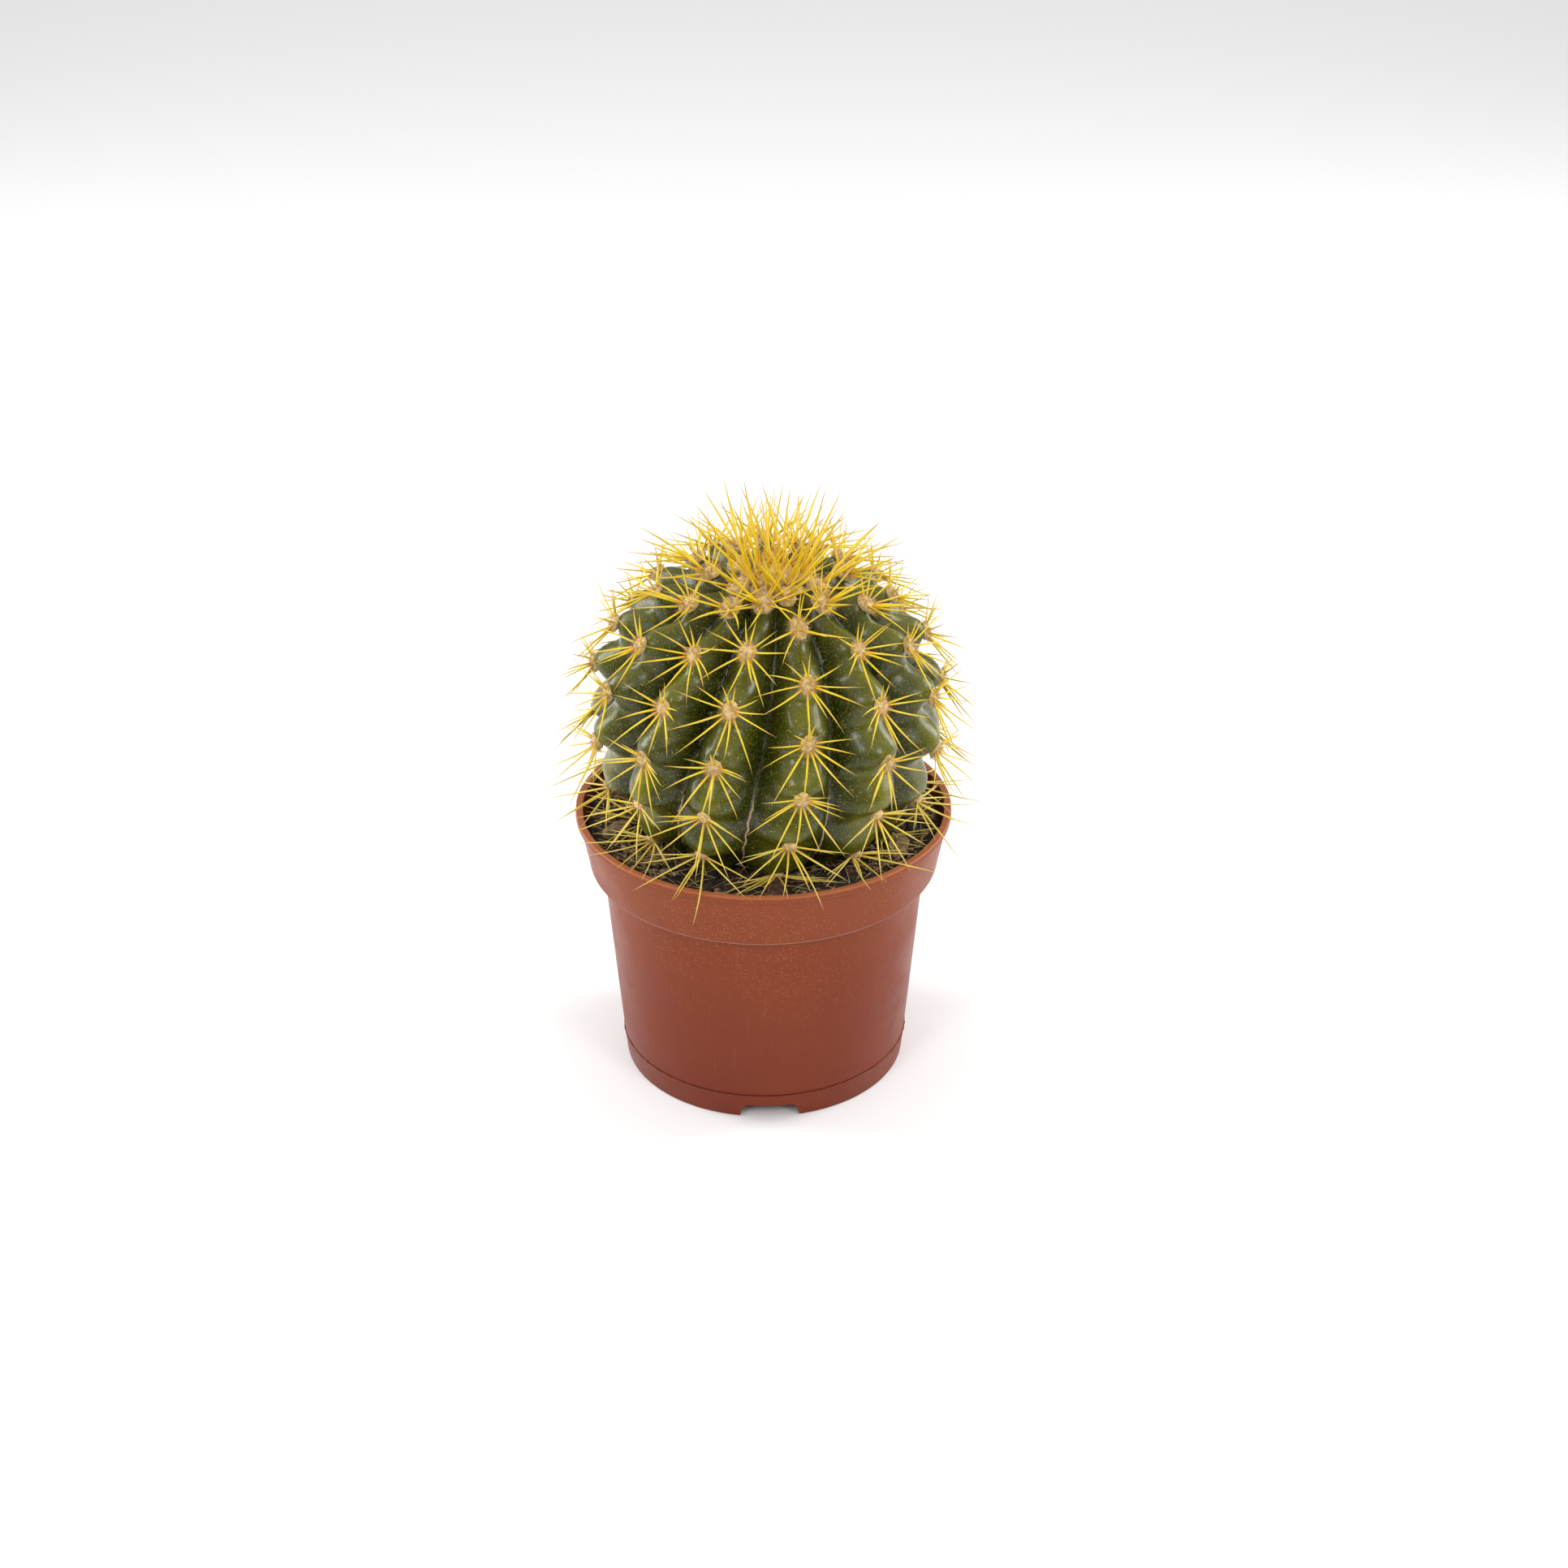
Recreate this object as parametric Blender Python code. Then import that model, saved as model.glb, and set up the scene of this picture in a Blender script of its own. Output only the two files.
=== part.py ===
"""A young golden barrel cactus in a moulded nursery pot, as separate solids.

Metres, +Z up. The origin is the middle of the pot's foot, on the surface it stands on, and -Y is its front.
"""

import math

import bmesh
import bpy
import numpy as np
from mathutils import Matrix, Vector, noise
from mathutils.bvhtree import BVHTree

GAP = 0.0003  # between pieces that touch
MM = 0.001

# The pot: a tapered body with a collar at the top and a notched foot ring.
POT_HEIGHT = 0.0904
RIM_RADIUS = 0.0602
COLLAR_HEIGHT = 0.0196
COLLAR_FOOT_RADIUS = 0.0562
LIP_HEIGHT = 0.0022
LIP_STAND = 0.0012  # how far the lip stands out from the collar
BODY_TOP_RADIUS = 0.0520
FOOT_RADIUS = 0.0459
WALL = 0.0013
FLOOR_RAISE = 0.0054  # the floor's underside above the surface
FOOT_RING_WIDTH = 0.0023
EDGE = 0.0005
POT_STEPS = 48
NOTCHES = 3
NOTCH_TURN = math.radians(2)
NOTCH_TOP_WIDTH = 0.0165
NOTCH_FOOT_WIDTH = 0.0195
NOTCH_BELOW_FLOOR = 0.0007
DRAIN_HOLES = 6
DRAIN_RADIUS = 0.0042
DRAIN_CIRCLE = 0.031

# The soil.
SOIL_BELOW_RIM = 0.0052
SOIL_LUMP = 0.0014
LUMP_SIZE = 0.009

# The cactus stem: a leaning ellipsoid cut by furrows.
STEM_RADIUS = 0.0537
STEM_RISE = 0.0493  # from its widest level to the crown
STEM_DROP = 0.0545  # from its widest level to its base
STEM_BURIED = 0.0138
STEM_OFFSET = (0.0012, -0.0010)
LEAN_FORWARD = 0.128
LEAN_RIGHT = 0.056
CROWN_DIMPLE = 0.0035
CROWN_DIMPLE_RADIUS = 0.013
FURROW_DEPTH = 0.0135
FURROW_SHAPE = 1.7  # the power that rounds a rib's crest and leaves its furrow sharp
FURROW_FADE = (math.radians(74), math.radians(112))  # from the crown: furrows grow shallow between the two
FURROW_LEFT = 0.22  # the share of a furrow's depth that is left at the base
TUBERCLE = 0.0027
TWIST = math.radians(130)  # of each rib, per metre of height
COLUMNS_PER_RIB = 6
STEM_ROWS = 27

# Each rib, in degrees: its direction from the front towards +X, the angle of its first areole from the crown,
# and the step from one areole to the next.
RIBS = (
    (-99.0, 21.5, 19.8),
    (-70.5, 31.0, 21.0),
    (-43.5, 23.5, 20.0),
    (-19.0, 17.5, 19.8),
    (10.0, 28.0, 19.4),
    (39.5, 21.0, 19.7),
    (70.0, 31.5, 19.8),
    (98.0, 23.0, 19.6),
    (125.0, 29.5, 19.8),
    (152.0, 20.5, 19.7),
    (179.0, 30.0, 19.5),
    (206.0, 22.0, 19.8),
    (233.5, 30.5, 19.6),
)
PEAK_ABOVE_AREOLE = 0.13  # of a step
DIP_BELOW_AREOLE = 0.27

# Areoles: felted pads with their spines. Each rib has this many, counted down from its first one.
AREOLE_ROWS = 4
PAD_RADIUS = 0.0024
PAD_THICKNESS = 0.0016
PAD_LIFT = 0.0009
RADIALS = 7
RADIAL_LENGTHS = (0.0165, 0.0150, 0.0110, 0.0105, 0.0110, 0.0155, 0.0170)
RADIAL_RISE = math.radians(24)  # above the skin
CENTRAL_LENGTH = 0.0205
CENTRAL_DROP = math.radians(24)
SPINE_CORNER = 0.0006
SPINE_REACH = 0.0155  # the outermost tips beyond the stem's radius, from the pot's axis
SPINE_CLEAR = 0.0014
SPINE_SHORTEST = 0.004
SPINE_STEP = 0.0008
SPINE_SAMPLES = 14

# The crown: a felted dome and its tuft of long spines.
CROWN_RADIUS = 0.0085
CROWN_FLATNESS = 0.45
CROWN_SPINE = 0.029
CROWN_TIP_RISE = 0.0745  # the tallest tip above the stem's widest level
CROWN_SPREAD = 0.35  # the least upward share of a crown spine's direction

# Roots under the stem: (direction, length, drop) of each side root.
ROOT_NECK_RADIUS = 0.0055
ROOT_TIP_RADIUS = 0.0011
TAP_ROOT_LENGTH = 0.043
SIDE_ROOTS = (
    (15, 0.030, 0.020),
    (88, 0.026, 0.026),
    (160, 0.031, 0.017),
    (232, 0.027, 0.024),
    (300, 0.029, 0.030),
)
TAP_SWAY = (0.003, 0.002)
SIDE_ROOT_SWAY = 0.5
FIRST_SIDE_ROOT = 0.04  # down the tap root, as a share of it
SIDE_ROOT_STEP = 0.07
ROOT_POINTS = 6
ROOT_CLEAR = 0.0004

# Bark chips on the soil: (direction from the front, length, thickness, turn).
CHIPS = ((5, 0.013, 0.0050, 20), (-77, 0.010, 0.0042, 70), (64, 0.011, 0.0040, -35))
CHIP_SHARE = 0.42  # a chip's width, of the gap between the stem and the pot
CHIP_SUNK = 0.45

SOIL_LEVEL = POT_HEIGHT - SOIL_BELOW_RIM
STEM_LEVEL = SOIL_LEVEL + STEM_DROP - STEM_BURIED
STEM_PLACE = (
    Matrix.Translation((*STEM_OFFSET, STEM_LEVEL))
    @ Matrix.Rotation(LEAN_FORWARD, 4, "X")
    @ Matrix.Rotation(LEAN_RIGHT, 4, "Y")
)
REACH = STEM_RADIUS + SPINE_REACH


def material(name, colour, roughness):
    made = bpy.data.materials.new(name)
    made.use_nodes = True
    shader = made.node_tree.nodes["Principled BSDF"]
    shader.inputs["Base Color"].default_value = (*colour, 1)
    shader.inputs["Roughness"].default_value = roughness
    return made


def add(name, bm, finish, place=None, sharp=40):
    """The bmesh as a named object, shaded smooth up to the sharp angle."""
    bmesh.ops.recalc_face_normals(bm, faces=bm.faces[:])
    if bm.calc_volume(signed=True) < 0:
        bmesh.ops.reverse_faces(bm, faces=bm.faces[:])
    mesh = bpy.data.meshes.new(name)
    bm.to_mesh(mesh)
    bm.free()
    mesh.shade_smooth()
    mesh.set_sharp_from_angle(angle=math.radians(sharp))
    mesh.materials.append(finish)
    obj = bpy.data.objects.new(name, mesh)
    bpy.context.collection.objects.link(obj)
    if place is not None:
        obj.matrix_world = place
    return obj


def cutter(name, bm, place=None):
    obj = add(name, bm, bpy.data.materials["cutter"], place)
    obj.hide_render = True
    obj.display_type = "WIRE"
    return obj


def boolean(obj, other, operation="DIFFERENCE"):
    modifier = obj.modifiers.new(other.name, "BOOLEAN")
    modifier.operation = operation
    modifier.object = other


def turned(profile, steps):
    """A closed solid: the profile, (radius, height) points from the axis round to the axis, spun about Z."""
    bm = bmesh.new()
    points = [bm.verts.new((radius, 0, height)) for radius, height in profile]
    edges = [bm.edges.new(pair) for pair in zip(points, points[1:])]
    bmesh.ops.spin(bm, geom=points + edges, axis=(0, 0, 1), steps=steps, angle=math.tau, use_merge=True)
    bmesh.ops.remove_doubles(bm, verts=bm.verts[:], dist=1e-6)
    return bm


def wall_radius(height, inset=0.0):
    """The pot's inner radius at a height, less an inset."""
    heights = (0, POT_HEIGHT - COLLAR_HEIGHT, POT_HEIGHT - COLLAR_HEIGHT + 2 * WALL, POT_HEIGHT)
    radii = (FOOT_RADIUS, BODY_TOP_RADIUS, COLLAR_FOOT_RADIUS, RIM_RADIUS - LIP_STAND)
    return float(np.interp(height, heights, radii)) - WALL - inset


def pot():
    collar_foot = POT_HEIGHT - COLLAR_HEIGHT
    lip_foot = POT_HEIGHT - LIP_HEIGHT
    ring_inner = FOOT_RADIUS - FOOT_RING_WIDTH
    floor_top = FLOOR_RAISE + WALL
    profile = (
        (0, FLOOR_RAISE),
        (ring_inner - EDGE, FLOOR_RAISE),
        (ring_inner, EDGE),
        (ring_inner + EDGE, 0),
        (FOOT_RADIUS - EDGE, 0),
        (FOOT_RADIUS, EDGE),
        (BODY_TOP_RADIUS, collar_foot),
        (COLLAR_FOOT_RADIUS - 3 * EDGE, collar_foot),
        (COLLAR_FOOT_RADIUS, collar_foot + 3 * EDGE),
        (RIM_RADIUS - LIP_STAND, lip_foot - LIP_STAND),
        (RIM_RADIUS, lip_foot),
        (RIM_RADIUS, POT_HEIGHT - EDGE),
        (RIM_RADIUS - EDGE, POT_HEIGHT),
        (RIM_RADIUS - LIP_STAND - WALL + EDGE, POT_HEIGHT),
        (wall_radius(lip_foot), lip_foot),
        (wall_radius(collar_foot + 2 * WALL), collar_foot + 2 * WALL),
        (wall_radius(collar_foot), collar_foot),
        (wall_radius(floor_top), floor_top),
        (0, floor_top),
    )
    shell = add("pot", turned(profile, POT_STEPS), FINISH["pot"])
    for index in range(NOTCHES):
        boolean(shell, notch_cutter(index))
    boolean(shell, drain_cutter())
    return shell


def notch_cutter(index):
    """A wedge across the foot ring, narrower at its top."""
    bm = bmesh.new()
    bmesh.ops.create_cube(bm, size=1)
    depth = 6 * FOOT_RING_WIDTH
    for vert in bm.verts:
        top = vert.co.z > 0
        width = NOTCH_TOP_WIDTH if top else 2 * NOTCH_FOOT_WIDTH - NOTCH_TOP_WIDTH
        height = FLOOR_RAISE - NOTCH_BELOW_FLOOR if top else -FLOOR_RAISE
        vert.co = (vert.co.x * width, vert.co.y * depth - FOOT_RADIUS, height)
    turn = Matrix.Rotation(NOTCH_TURN + math.tau * index / NOTCHES, 4, "Z")
    return cutter(f"notch_cutter_{index}", bm, turn)


def drain_cutter():
    bm = bmesh.new()
    size = {"segments": 12, "radius1": DRAIN_RADIUS, "radius2": DRAIN_RADIUS, "depth": 6 * WALL}
    for index in range(DRAIN_HOLES):
        turn = Matrix.Rotation(math.tau * (index + 0.5) / DRAIN_HOLES, 4, "Z")
        place = turn @ Matrix.Translation((0, DRAIN_CIRCLE, FLOOR_RAISE + WALL / 2))
        bmesh.ops.create_cone(bm, cap_ends=True, matrix=place, **size)
    return cutter("drain_cutter", bm)


def step_at(rib, angle):
    """How many areole steps an angle from the crown is down a rib."""
    _, first, step = RIBS[rib]
    return (math.degrees(angle) - first) / step


def tubercle(rib, angle):
    """The swelling along a rib's crest, from -1 in the dip below each areole to 1 just above the next."""
    place = (step_at(rib, angle) + PEAK_ABOVE_AREOLE) % 1
    fall = PEAK_ABOVE_AREOLE + DIP_BELOW_AREOLE
    phase = place / fall / 2 if place < fall else 0.5 + (place - fall) / (1 - fall) / 2
    return math.cos(math.tau * phase)


def crest(angle):
    """(radius, height) and its outward slope on the stem's envelope, at an angle from the crown."""
    tall = STEM_RISE if angle < math.pi / 2 else STEM_DROP
    radius, height = STEM_RADIUS * math.sin(angle), tall * math.cos(angle)
    outward = Vector((radius / STEM_RADIUS**2, height / tall**2)).normalized()
    if angle < math.pi / 2:
        height -= CROWN_DIMPLE * math.exp(-((radius / CROWN_DIMPLE_RADIUS) ** 2))
    return Vector((radius, height)), outward


def skin(rib, across, angle, grow=0.0):
    """A point of the skin in the stem's frame. across runs from -1 to 1 between the rib's two furrows."""
    directions = [entry[0] for entry in RIBS]
    here = directions[rib]
    before = directions[rib - 1] - (360 if rib == 0 else 0)
    after = directions[(rib + 1) % len(RIBS)] + (360 if rib == len(RIBS) - 1 else 0)
    half = (after - here) / 2 if across > 0 else (here - before) / 2
    point, outward = crest(angle)
    azimuth = math.radians(here + across * half) + TWIST * point.y
    slenderness = max(point.x, 0) / STEM_RADIUS
    faded = float(np.interp(angle, FURROW_FADE, (1, FURROW_LEFT)))
    furrow = FURROW_DEPTH * faded * slenderness * abs(across) ** FURROW_SHAPE
    swell = TUBERCLE * tubercle(rib, angle) * (1 - across**2) * slenderness**0.7
    point = point + outward * (swell - furrow + grow)
    radius = max(point.x, 0)
    return Vector((radius * math.sin(azimuth), -radius * math.cos(azimuth), point.y))


def stem_shape(grow=0.0):
    """A sphere whose columns lie on the crests and furrows, moved out or in to the skin."""
    columns = COLUMNS_PER_RIB * len(RIBS)
    bm = bmesh.new()
    bmesh.ops.create_uvsphere(bm, u_segments=columns, v_segments=STEM_ROWS, radius=1)
    for vert in bm.verts:
        angle = math.acos(max(-1.0, min(1.0, vert.co.z)))
        column = round(math.atan2(vert.co.y, vert.co.x) / math.tau * columns) % columns
        rib, place = divmod(column, COLUMNS_PER_RIB)
        across = place / (COLUMNS_PER_RIB / 2)
        if across > 1:
            rib, across = (rib + 1) % len(RIBS), across - 2
        vert.co = skin(rib, across, angle, grow)
    bmesh.ops.triangulate(bm, faces=bm.faces[:], quad_method="FIXED")
    return bm


def soil_body(cuts):
    """Soil that fills the pot up to its level, with lumps on top."""
    floor = FLOOR_RAISE + WALL + GAP
    collar_foot = POT_HEIGHT - COLLAR_HEIGHT
    edge = wall_radius(SOIL_LEVEL, 1.2 * GAP)
    profile = [(0, floor), (wall_radius(floor, 1.2 * GAP), floor)]
    profile += [(wall_radius(collar_foot, 1.2 * GAP), collar_foot - GAP)]
    profile += [(wall_radius(collar_foot, 1.2 * GAP), collar_foot + 2 * WALL)]
    profile += [(wall_radius(collar_foot + 2 * WALL, 2 * GAP), collar_foot + 3 * WALL), (edge, SOIL_LEVEL)]
    profile += [(edge * share, SOIL_LEVEL) for share in (0.9, 0.8, 0.7, 0.6, 0.45, 0.25)]
    profile += [(0, SOIL_LEVEL)]
    bm = turned(profile, POT_STEPS)
    for vert in bm.verts:
        reach = math.hypot(vert.co.x, vert.co.y)
        if vert.co.z > SOIL_LEVEL - GAP / 2 and reach < 0.95 * edge:
            vert.co.z += SOIL_LUMP * (noise.noise(vert.co / LUMP_SIZE) + 0.3)
    soil = add("soil", bm, FINISH["soil"])
    for cut in cuts:
        boolean(soil, cut)
    return soil


def root_paths():
    """Each root as its centre line, from inside the neck outwards and down, with its radii."""
    top = STEM_PLACE @ skin(0, 0, math.pi) - Vector((0, 0, GAP + ROOT_NECK_RADIUS * 0.4))
    steps = np.linspace(0, 1, ROOT_POINTS)
    tap = []
    for t in steps:
        sway = Vector((TAP_SWAY[0] * math.sin(5 * t), TAP_SWAY[1] * math.sin(4 * t), -TAP_ROOT_LENGTH * t))
        tap.append((top + sway, t))
    paths = [tap]
    for index, (direction, length, drop) in enumerate(SIDE_ROOTS):
        turn = math.radians(direction)
        start = top - Vector((0, 0, TAP_ROOT_LENGTH * (FIRST_SIDE_ROOT + SIDE_ROOT_STEP * index)))
        path = []
        for t in steps:
            bend = turn + SIDE_ROOT_SWAY * t * math.sin(2.0 * index + 2.5 * t)
            reach = length * t
            point = start + Vector((reach * math.sin(bend), -reach * math.cos(bend), -drop * t**1.4))
            path.append((point, 0.25 + 0.75 * t))
        paths.append(path)
    return paths


def root_tube(name, path, grow):
    """One tapering root. grow also draws it on past its ends, so that a grown copy clears the plain one."""
    curve = bpy.data.curves.new(name, "CURVE")
    curve.dimensions = "3D"
    curve.bevel_depth = 1
    curve.bevel_resolution = 1
    curve.use_fill_caps = True
    spline = curve.splines.new("POLY")
    spline.points.add(len(path) - 1)
    ends = ((path[0][0] - path[1][0]).normalized(), (path[-1][0] - path[-2][0]).normalized())
    for index, (point, taper) in enumerate(path):
        outward = ends[0] if index == 0 else ends[1] if index == len(path) - 1 else Vector()
        spline.points[index].co = (*(point + outward * grow), 1)
        spline.points[index].radius = ROOT_NECK_RADIUS * (1 - taper) ** 1.6 + ROOT_TIP_RADIUS + grow
    tube = bpy.data.objects.new(name, curve)
    bpy.context.collection.objects.link(tube)
    bpy.context.view_layer.update()
    mesh = bpy.data.meshes.new_from_object(tube.evaluated_get(bpy.context.evaluated_depsgraph_get()))
    bpy.data.objects.remove(tube)
    bm = bmesh.new()
    bm.from_mesh(mesh)
    bmesh.ops.remove_doubles(bm, verts=bm.verts[:], dist=1e-7)
    return bm


def roots(name, grow, make):
    """The tap root with its side roots joined to it."""
    paths = root_paths()
    if grow:
        above = paths[0][0][0] + Vector((0, 0, 4 * ROOT_NECK_RADIUS))
        paths[0] = [(above, 0)] + paths[0]
    whole = make(name, root_tube(name, paths[0], grow))
    for index, path in enumerate(paths[1:]):
        boolean(whole, cutter(f"{name}_side_{index}", root_tube(name, path, grow)), "UNION")
    return whole


def chip_shape(index, grow=0.0):
    """A splinter of bark lying in the gap between the stem and the pot's wall, half sunk in the soil."""
    direction, length, thickness, turn = CHIPS[index]
    inner = STEM_RADIUS * math.sin(math.acos(-(STEM_DROP - STEM_BURIED) / STEM_DROP)) + TUBERCLE
    outer = wall_radius(SOIL_LEVEL)
    middle, width = (inner + outer) / 2, CHIP_SHARE * (outer - inner)
    bm = bmesh.new()
    bmesh.ops.create_cube(bm, size=1)
    size = Vector((min(length, 1.3 * width), width, thickness)) + Vector((2 * grow, 2 * grow, 2 * grow))
    bmesh.ops.scale(bm, verts=bm.verts[:], vec=size)
    for vert in bm.verts:
        if vert.co.x > 0:
            vert.co.y *= 0.6
            vert.co.z *= 0.7
    bmesh.ops.bevel(
        bm, geom=bm.edges[:], offset=0.18 * thickness, affect="EDGES", segments=1, profile=0.5, material=-1
    )
    place = Matrix.Rotation(math.radians(direction), 4, "Z")
    place = place @ Matrix.Translation((0, -middle, SOIL_LEVEL + thickness * (0.5 - CHIP_SUNK)))
    return bm, place @ Matrix.Rotation(math.radians(turn), 4, "Z") @ Matrix.Rotation(0.12, 4, "X")


def tree_of(obj):
    """The evaluated mesh of an object, in world space, to measure distances to."""
    bpy.context.view_layer.update()
    graph = bpy.context.evaluated_depsgraph_get()
    evaluated = obj.evaluated_get(graph)
    mesh = evaluated.to_mesh()
    points = [evaluated.matrix_world @ vert.co for vert in mesh.vertices]
    faces = [tuple(face.vertices) for face in mesh.polygons]
    evaluated.to_mesh_clear()
    return BVHTree.FromPolygons(points, faces)


class Clearance:
    """Keeps spines off the solids and off each other: a spine that would meet something is drawn shorter."""

    def __init__(self, solids):
        self.trees = [tree_of(obj) for obj in solids]
        self.placed = np.empty((0, 3))

    def meets(self, points):
        for tree in self.trees:
            for point in points[3:]:
                near = tree.find_nearest(Vector(point), SPINE_CLEAR)
                if near[0] is not None:
                    return True
        if len(self.placed) == 0:
            return False
        apart = np.linalg.norm(points[:, None] - self.placed[None], axis=2)
        return bool(apart.min() < SPINE_CLEAR)

    def fit(self, base, direction, length):
        """The longest a spine can be, up to its natural length."""
        for axis in (0, 1):
            if abs(direction[axis]) > 1e-6:
                room = REACH - math.copysign(1, direction[axis]) * base[axis]
                length = min(length, room / abs(direction[axis]))
        while length > SPINE_SHORTEST:
            points = sample(base, direction, length)
            if not self.meets(points):
                break
            length -= SPINE_STEP
        return max(length, SPINE_SHORTEST)

    def keep(self, spines):
        self.placed = np.concatenate([self.placed] + [sample(*spine) for spine in spines])


def sample(base, direction, length):
    return np.array([base + direction * length * t for t in np.linspace(0, 1, SPINE_SAMPLES)])


def draw_spine(bm, face, tip):
    """Draws one face of a pad out to a point."""
    made = bmesh.ops.extrude_discrete_faces(bm, faces=[face])["faces"][0]
    bmesh.ops.pointmerge(bm, verts=made.verts[:], merge_co=tip)


def areole_frame(rib, row):
    """An areole's place: its origin over the crest, Z away from the stem and Y up the rib."""
    _, first, step = RIBS[rib]
    angle = math.radians(first + step * row)
    point = skin(rib, 0, angle)
    above, below = skin(rib, 0, angle - 0.05), skin(rib, 0, angle + 0.05)
    up = (above - below).normalized()
    _, outward = crest(angle)
    azimuth = math.atan2(point.x, -point.y)
    out = Vector((outward.x * math.sin(azimuth), -outward.x * math.cos(azimuth), outward.y))
    local = (up.cross(out)).normalized().cross(up)
    out = (0.5 * out.normalized() + 0.5 * local.normalized()).normalized()
    side = up.cross(out).normalized()
    up = out.cross(side)
    frame = Matrix((side, up, out)).transposed().to_4x4()
    frame.translation = point + out * PAD_LIFT
    return STEM_PLACE @ frame


def areole(rib, row, clearance):
    """A felted pad with its radial spines and one central spine, all one body."""
    place = areole_frame(rib, row)
    bm = bmesh.new()
    bmesh.ops.create_circle(bm, cap_ends=True, segments=RADIALS, radius=PAD_RADIUS)
    bmesh.ops.bevel(
        bm, geom=bm.verts[:], offset=SPINE_CORNER, affect="VERTICES", segments=1, profile=0.5, material=-1
    )
    raised = bmesh.ops.extrude_face_region(bm, geom=bm.faces[:])["geom"]
    top = next(item for item in raised if isinstance(item, bmesh.types.BMFace))
    for vert in top.verts:
        vert.co = (vert.co.x * 0.8, vert.co.y * 0.8, PAD_THICKNESS)
    bm.normal_update()
    sides = [face for face in bm.faces if abs(face.normal.z) < 0.8]
    corners = sorted(sides, key=lambda face: face.calc_area())[:RADIALS]
    corners.sort(key=lambda face: math.atan2(face.calc_center_median().y, face.calc_center_median().x))
    wedges = bmesh.ops.poke(bm, faces=[top])["faces"]
    lowest = min(wedges, key=lambda face: face.calc_center_median().y)
    spines = []
    for index, face in enumerate(corners):
        base = face.calc_center_median()
        around = Vector((base.x, base.y, 0)).normalized()
        direction = around * math.cos(RADIAL_RISE) + Vector((0, 0, math.sin(RADIAL_RISE)))
        natural = RADIAL_LENGTHS[(index + 2 * rib + 3 * row) % RADIALS]
        spines.append((face, base, direction, natural))
    centre = lowest.calc_center_median()
    down = Vector((0, -math.sin(CENTRAL_DROP), math.cos(CENTRAL_DROP)))
    spines.append((lowest, centre, down, CENTRAL_LENGTH))
    fitted = []
    for face, base, direction, natural in spines:
        world_base = place @ base
        world_direction = place.to_3x3() @ direction
        length = clearance.fit(world_base, world_direction, natural)
        fitted.append((world_base, world_direction, length))
        draw_spine(bm, face, base + direction * length)
    clearance.keep(fitted)
    add(f"spines_rib_{rib + 1:02d}_row_{row + 1}", bm, FINISH["spines"], place)


def crown_tuft(clearance):
    """The felted dome in the crown's dimple, with a long spine from each of its upper faces."""
    rim = []
    for rib in range(len(RIBS)):
        for angle in np.linspace(0, 0.2, 9):
            rim += [skin(rib, 0, angle).z, skin(rib, 1, angle).z]
    seat = max(rim) + 2 * GAP + CROWN_RADIUS * CROWN_FLATNESS
    place = STEM_PLACE @ Matrix.Translation((0, 0, seat))
    bm = bmesh.new()
    bmesh.ops.create_icosphere(bm, subdivisions=2, radius=CROWN_RADIUS)
    bmesh.ops.scale(bm, verts=bm.verts[:], vec=(1, 1, CROWN_FLATNESS))
    bm.normal_update()
    chosen = [face for face in bm.faces if face.calc_center_median().z > 0.25 * CROWN_FLATNESS * CROWN_RADIUS]
    middles = {face: face.calc_center_median() for face in chosen}
    chosen.sort(key=lambda face: (round(middles[face].z, 7), math.atan2(*middles[face].xy)))
    spines = []
    for index, face in enumerate(chosen):
        base = face.calc_center_median()
        direction = Vector((base.x, base.y, max(2.2 * base.z, CROWN_SPREAD * base.xy.length))).normalized()
        length = CROWN_SPINE * (0.72 + 0.28 * math.sin(2.4 * index) ** 2)
        spines.append((face, base, direction, length))
    turned_up = place.to_3x3()
    tallest = max(spines, key=lambda spine: (turned_up @ spine[2]).z)
    limit = STEM_LEVEL + CROWN_TIP_RISE
    fitted = []
    for face, base, direction, length in spines:
        world_base, world_direction = place @ base, turned_up @ direction
        room = (limit - world_base.z) / max(world_direction.z, 0.05)
        length = room if face is tallest[0] else min(length, 0.96 * room)
        fitted.append((world_base, world_direction, length))
        made = bmesh.ops.inset_individual(bm, faces=[face], thickness=0.18 * math.sqrt(face.calc_area()))
        draw_spine(bm, face, base + direction * length)
    clearance.keep(fitted)
    return add("crown_tuft", bm, FINISH["spines"], place)


for existing in list(bpy.data.objects):
    bpy.data.objects.remove(existing)

FINISH = {
    "pot": material("pot_plastic", (0.30, 0.085, 0.045), 0.42),
    "soil": material("peat", (0.030, 0.019, 0.012), 0.95),
    "stem": material("stem_skin", (0.040, 0.085, 0.022), 0.30),
    "spines": material("spines", (0.80, 0.55, 0.10), 0.50),
    "roots": material("roots", (0.42, 0.30, 0.18), 0.85),
    "bark": material("bark", (0.16, 0.065, 0.035), 0.90),
}
material("cutter", (0.5, 0.5, 0.5), 0.5)

the_pot = pot()
stem = add("cactus_stem", stem_shape(), FINISH["stem"], STEM_PLACE, sharp=60)
socket = cutter("stem_socket", stem_shape(2.5 * GAP), STEM_PLACE)
root_channel = roots("root_channel", ROOT_CLEAR, cutter)
roots("roots", 0.0, lambda name, bm: add(name, bm, FINISH["roots"]))
chips, hollows = [], []
for number in range(len(CHIPS)):
    shape, place = chip_shape(number)
    chips.append(add(f"bark_chip_{number + 1}", shape, FINISH["bark"], place))
    shape, place = chip_shape(number, GAP)
    hollows.append(cutter(f"bark_hollow_{number + 1}", shape, place))
soil = soil_body([socket, root_channel] + hollows)

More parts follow.
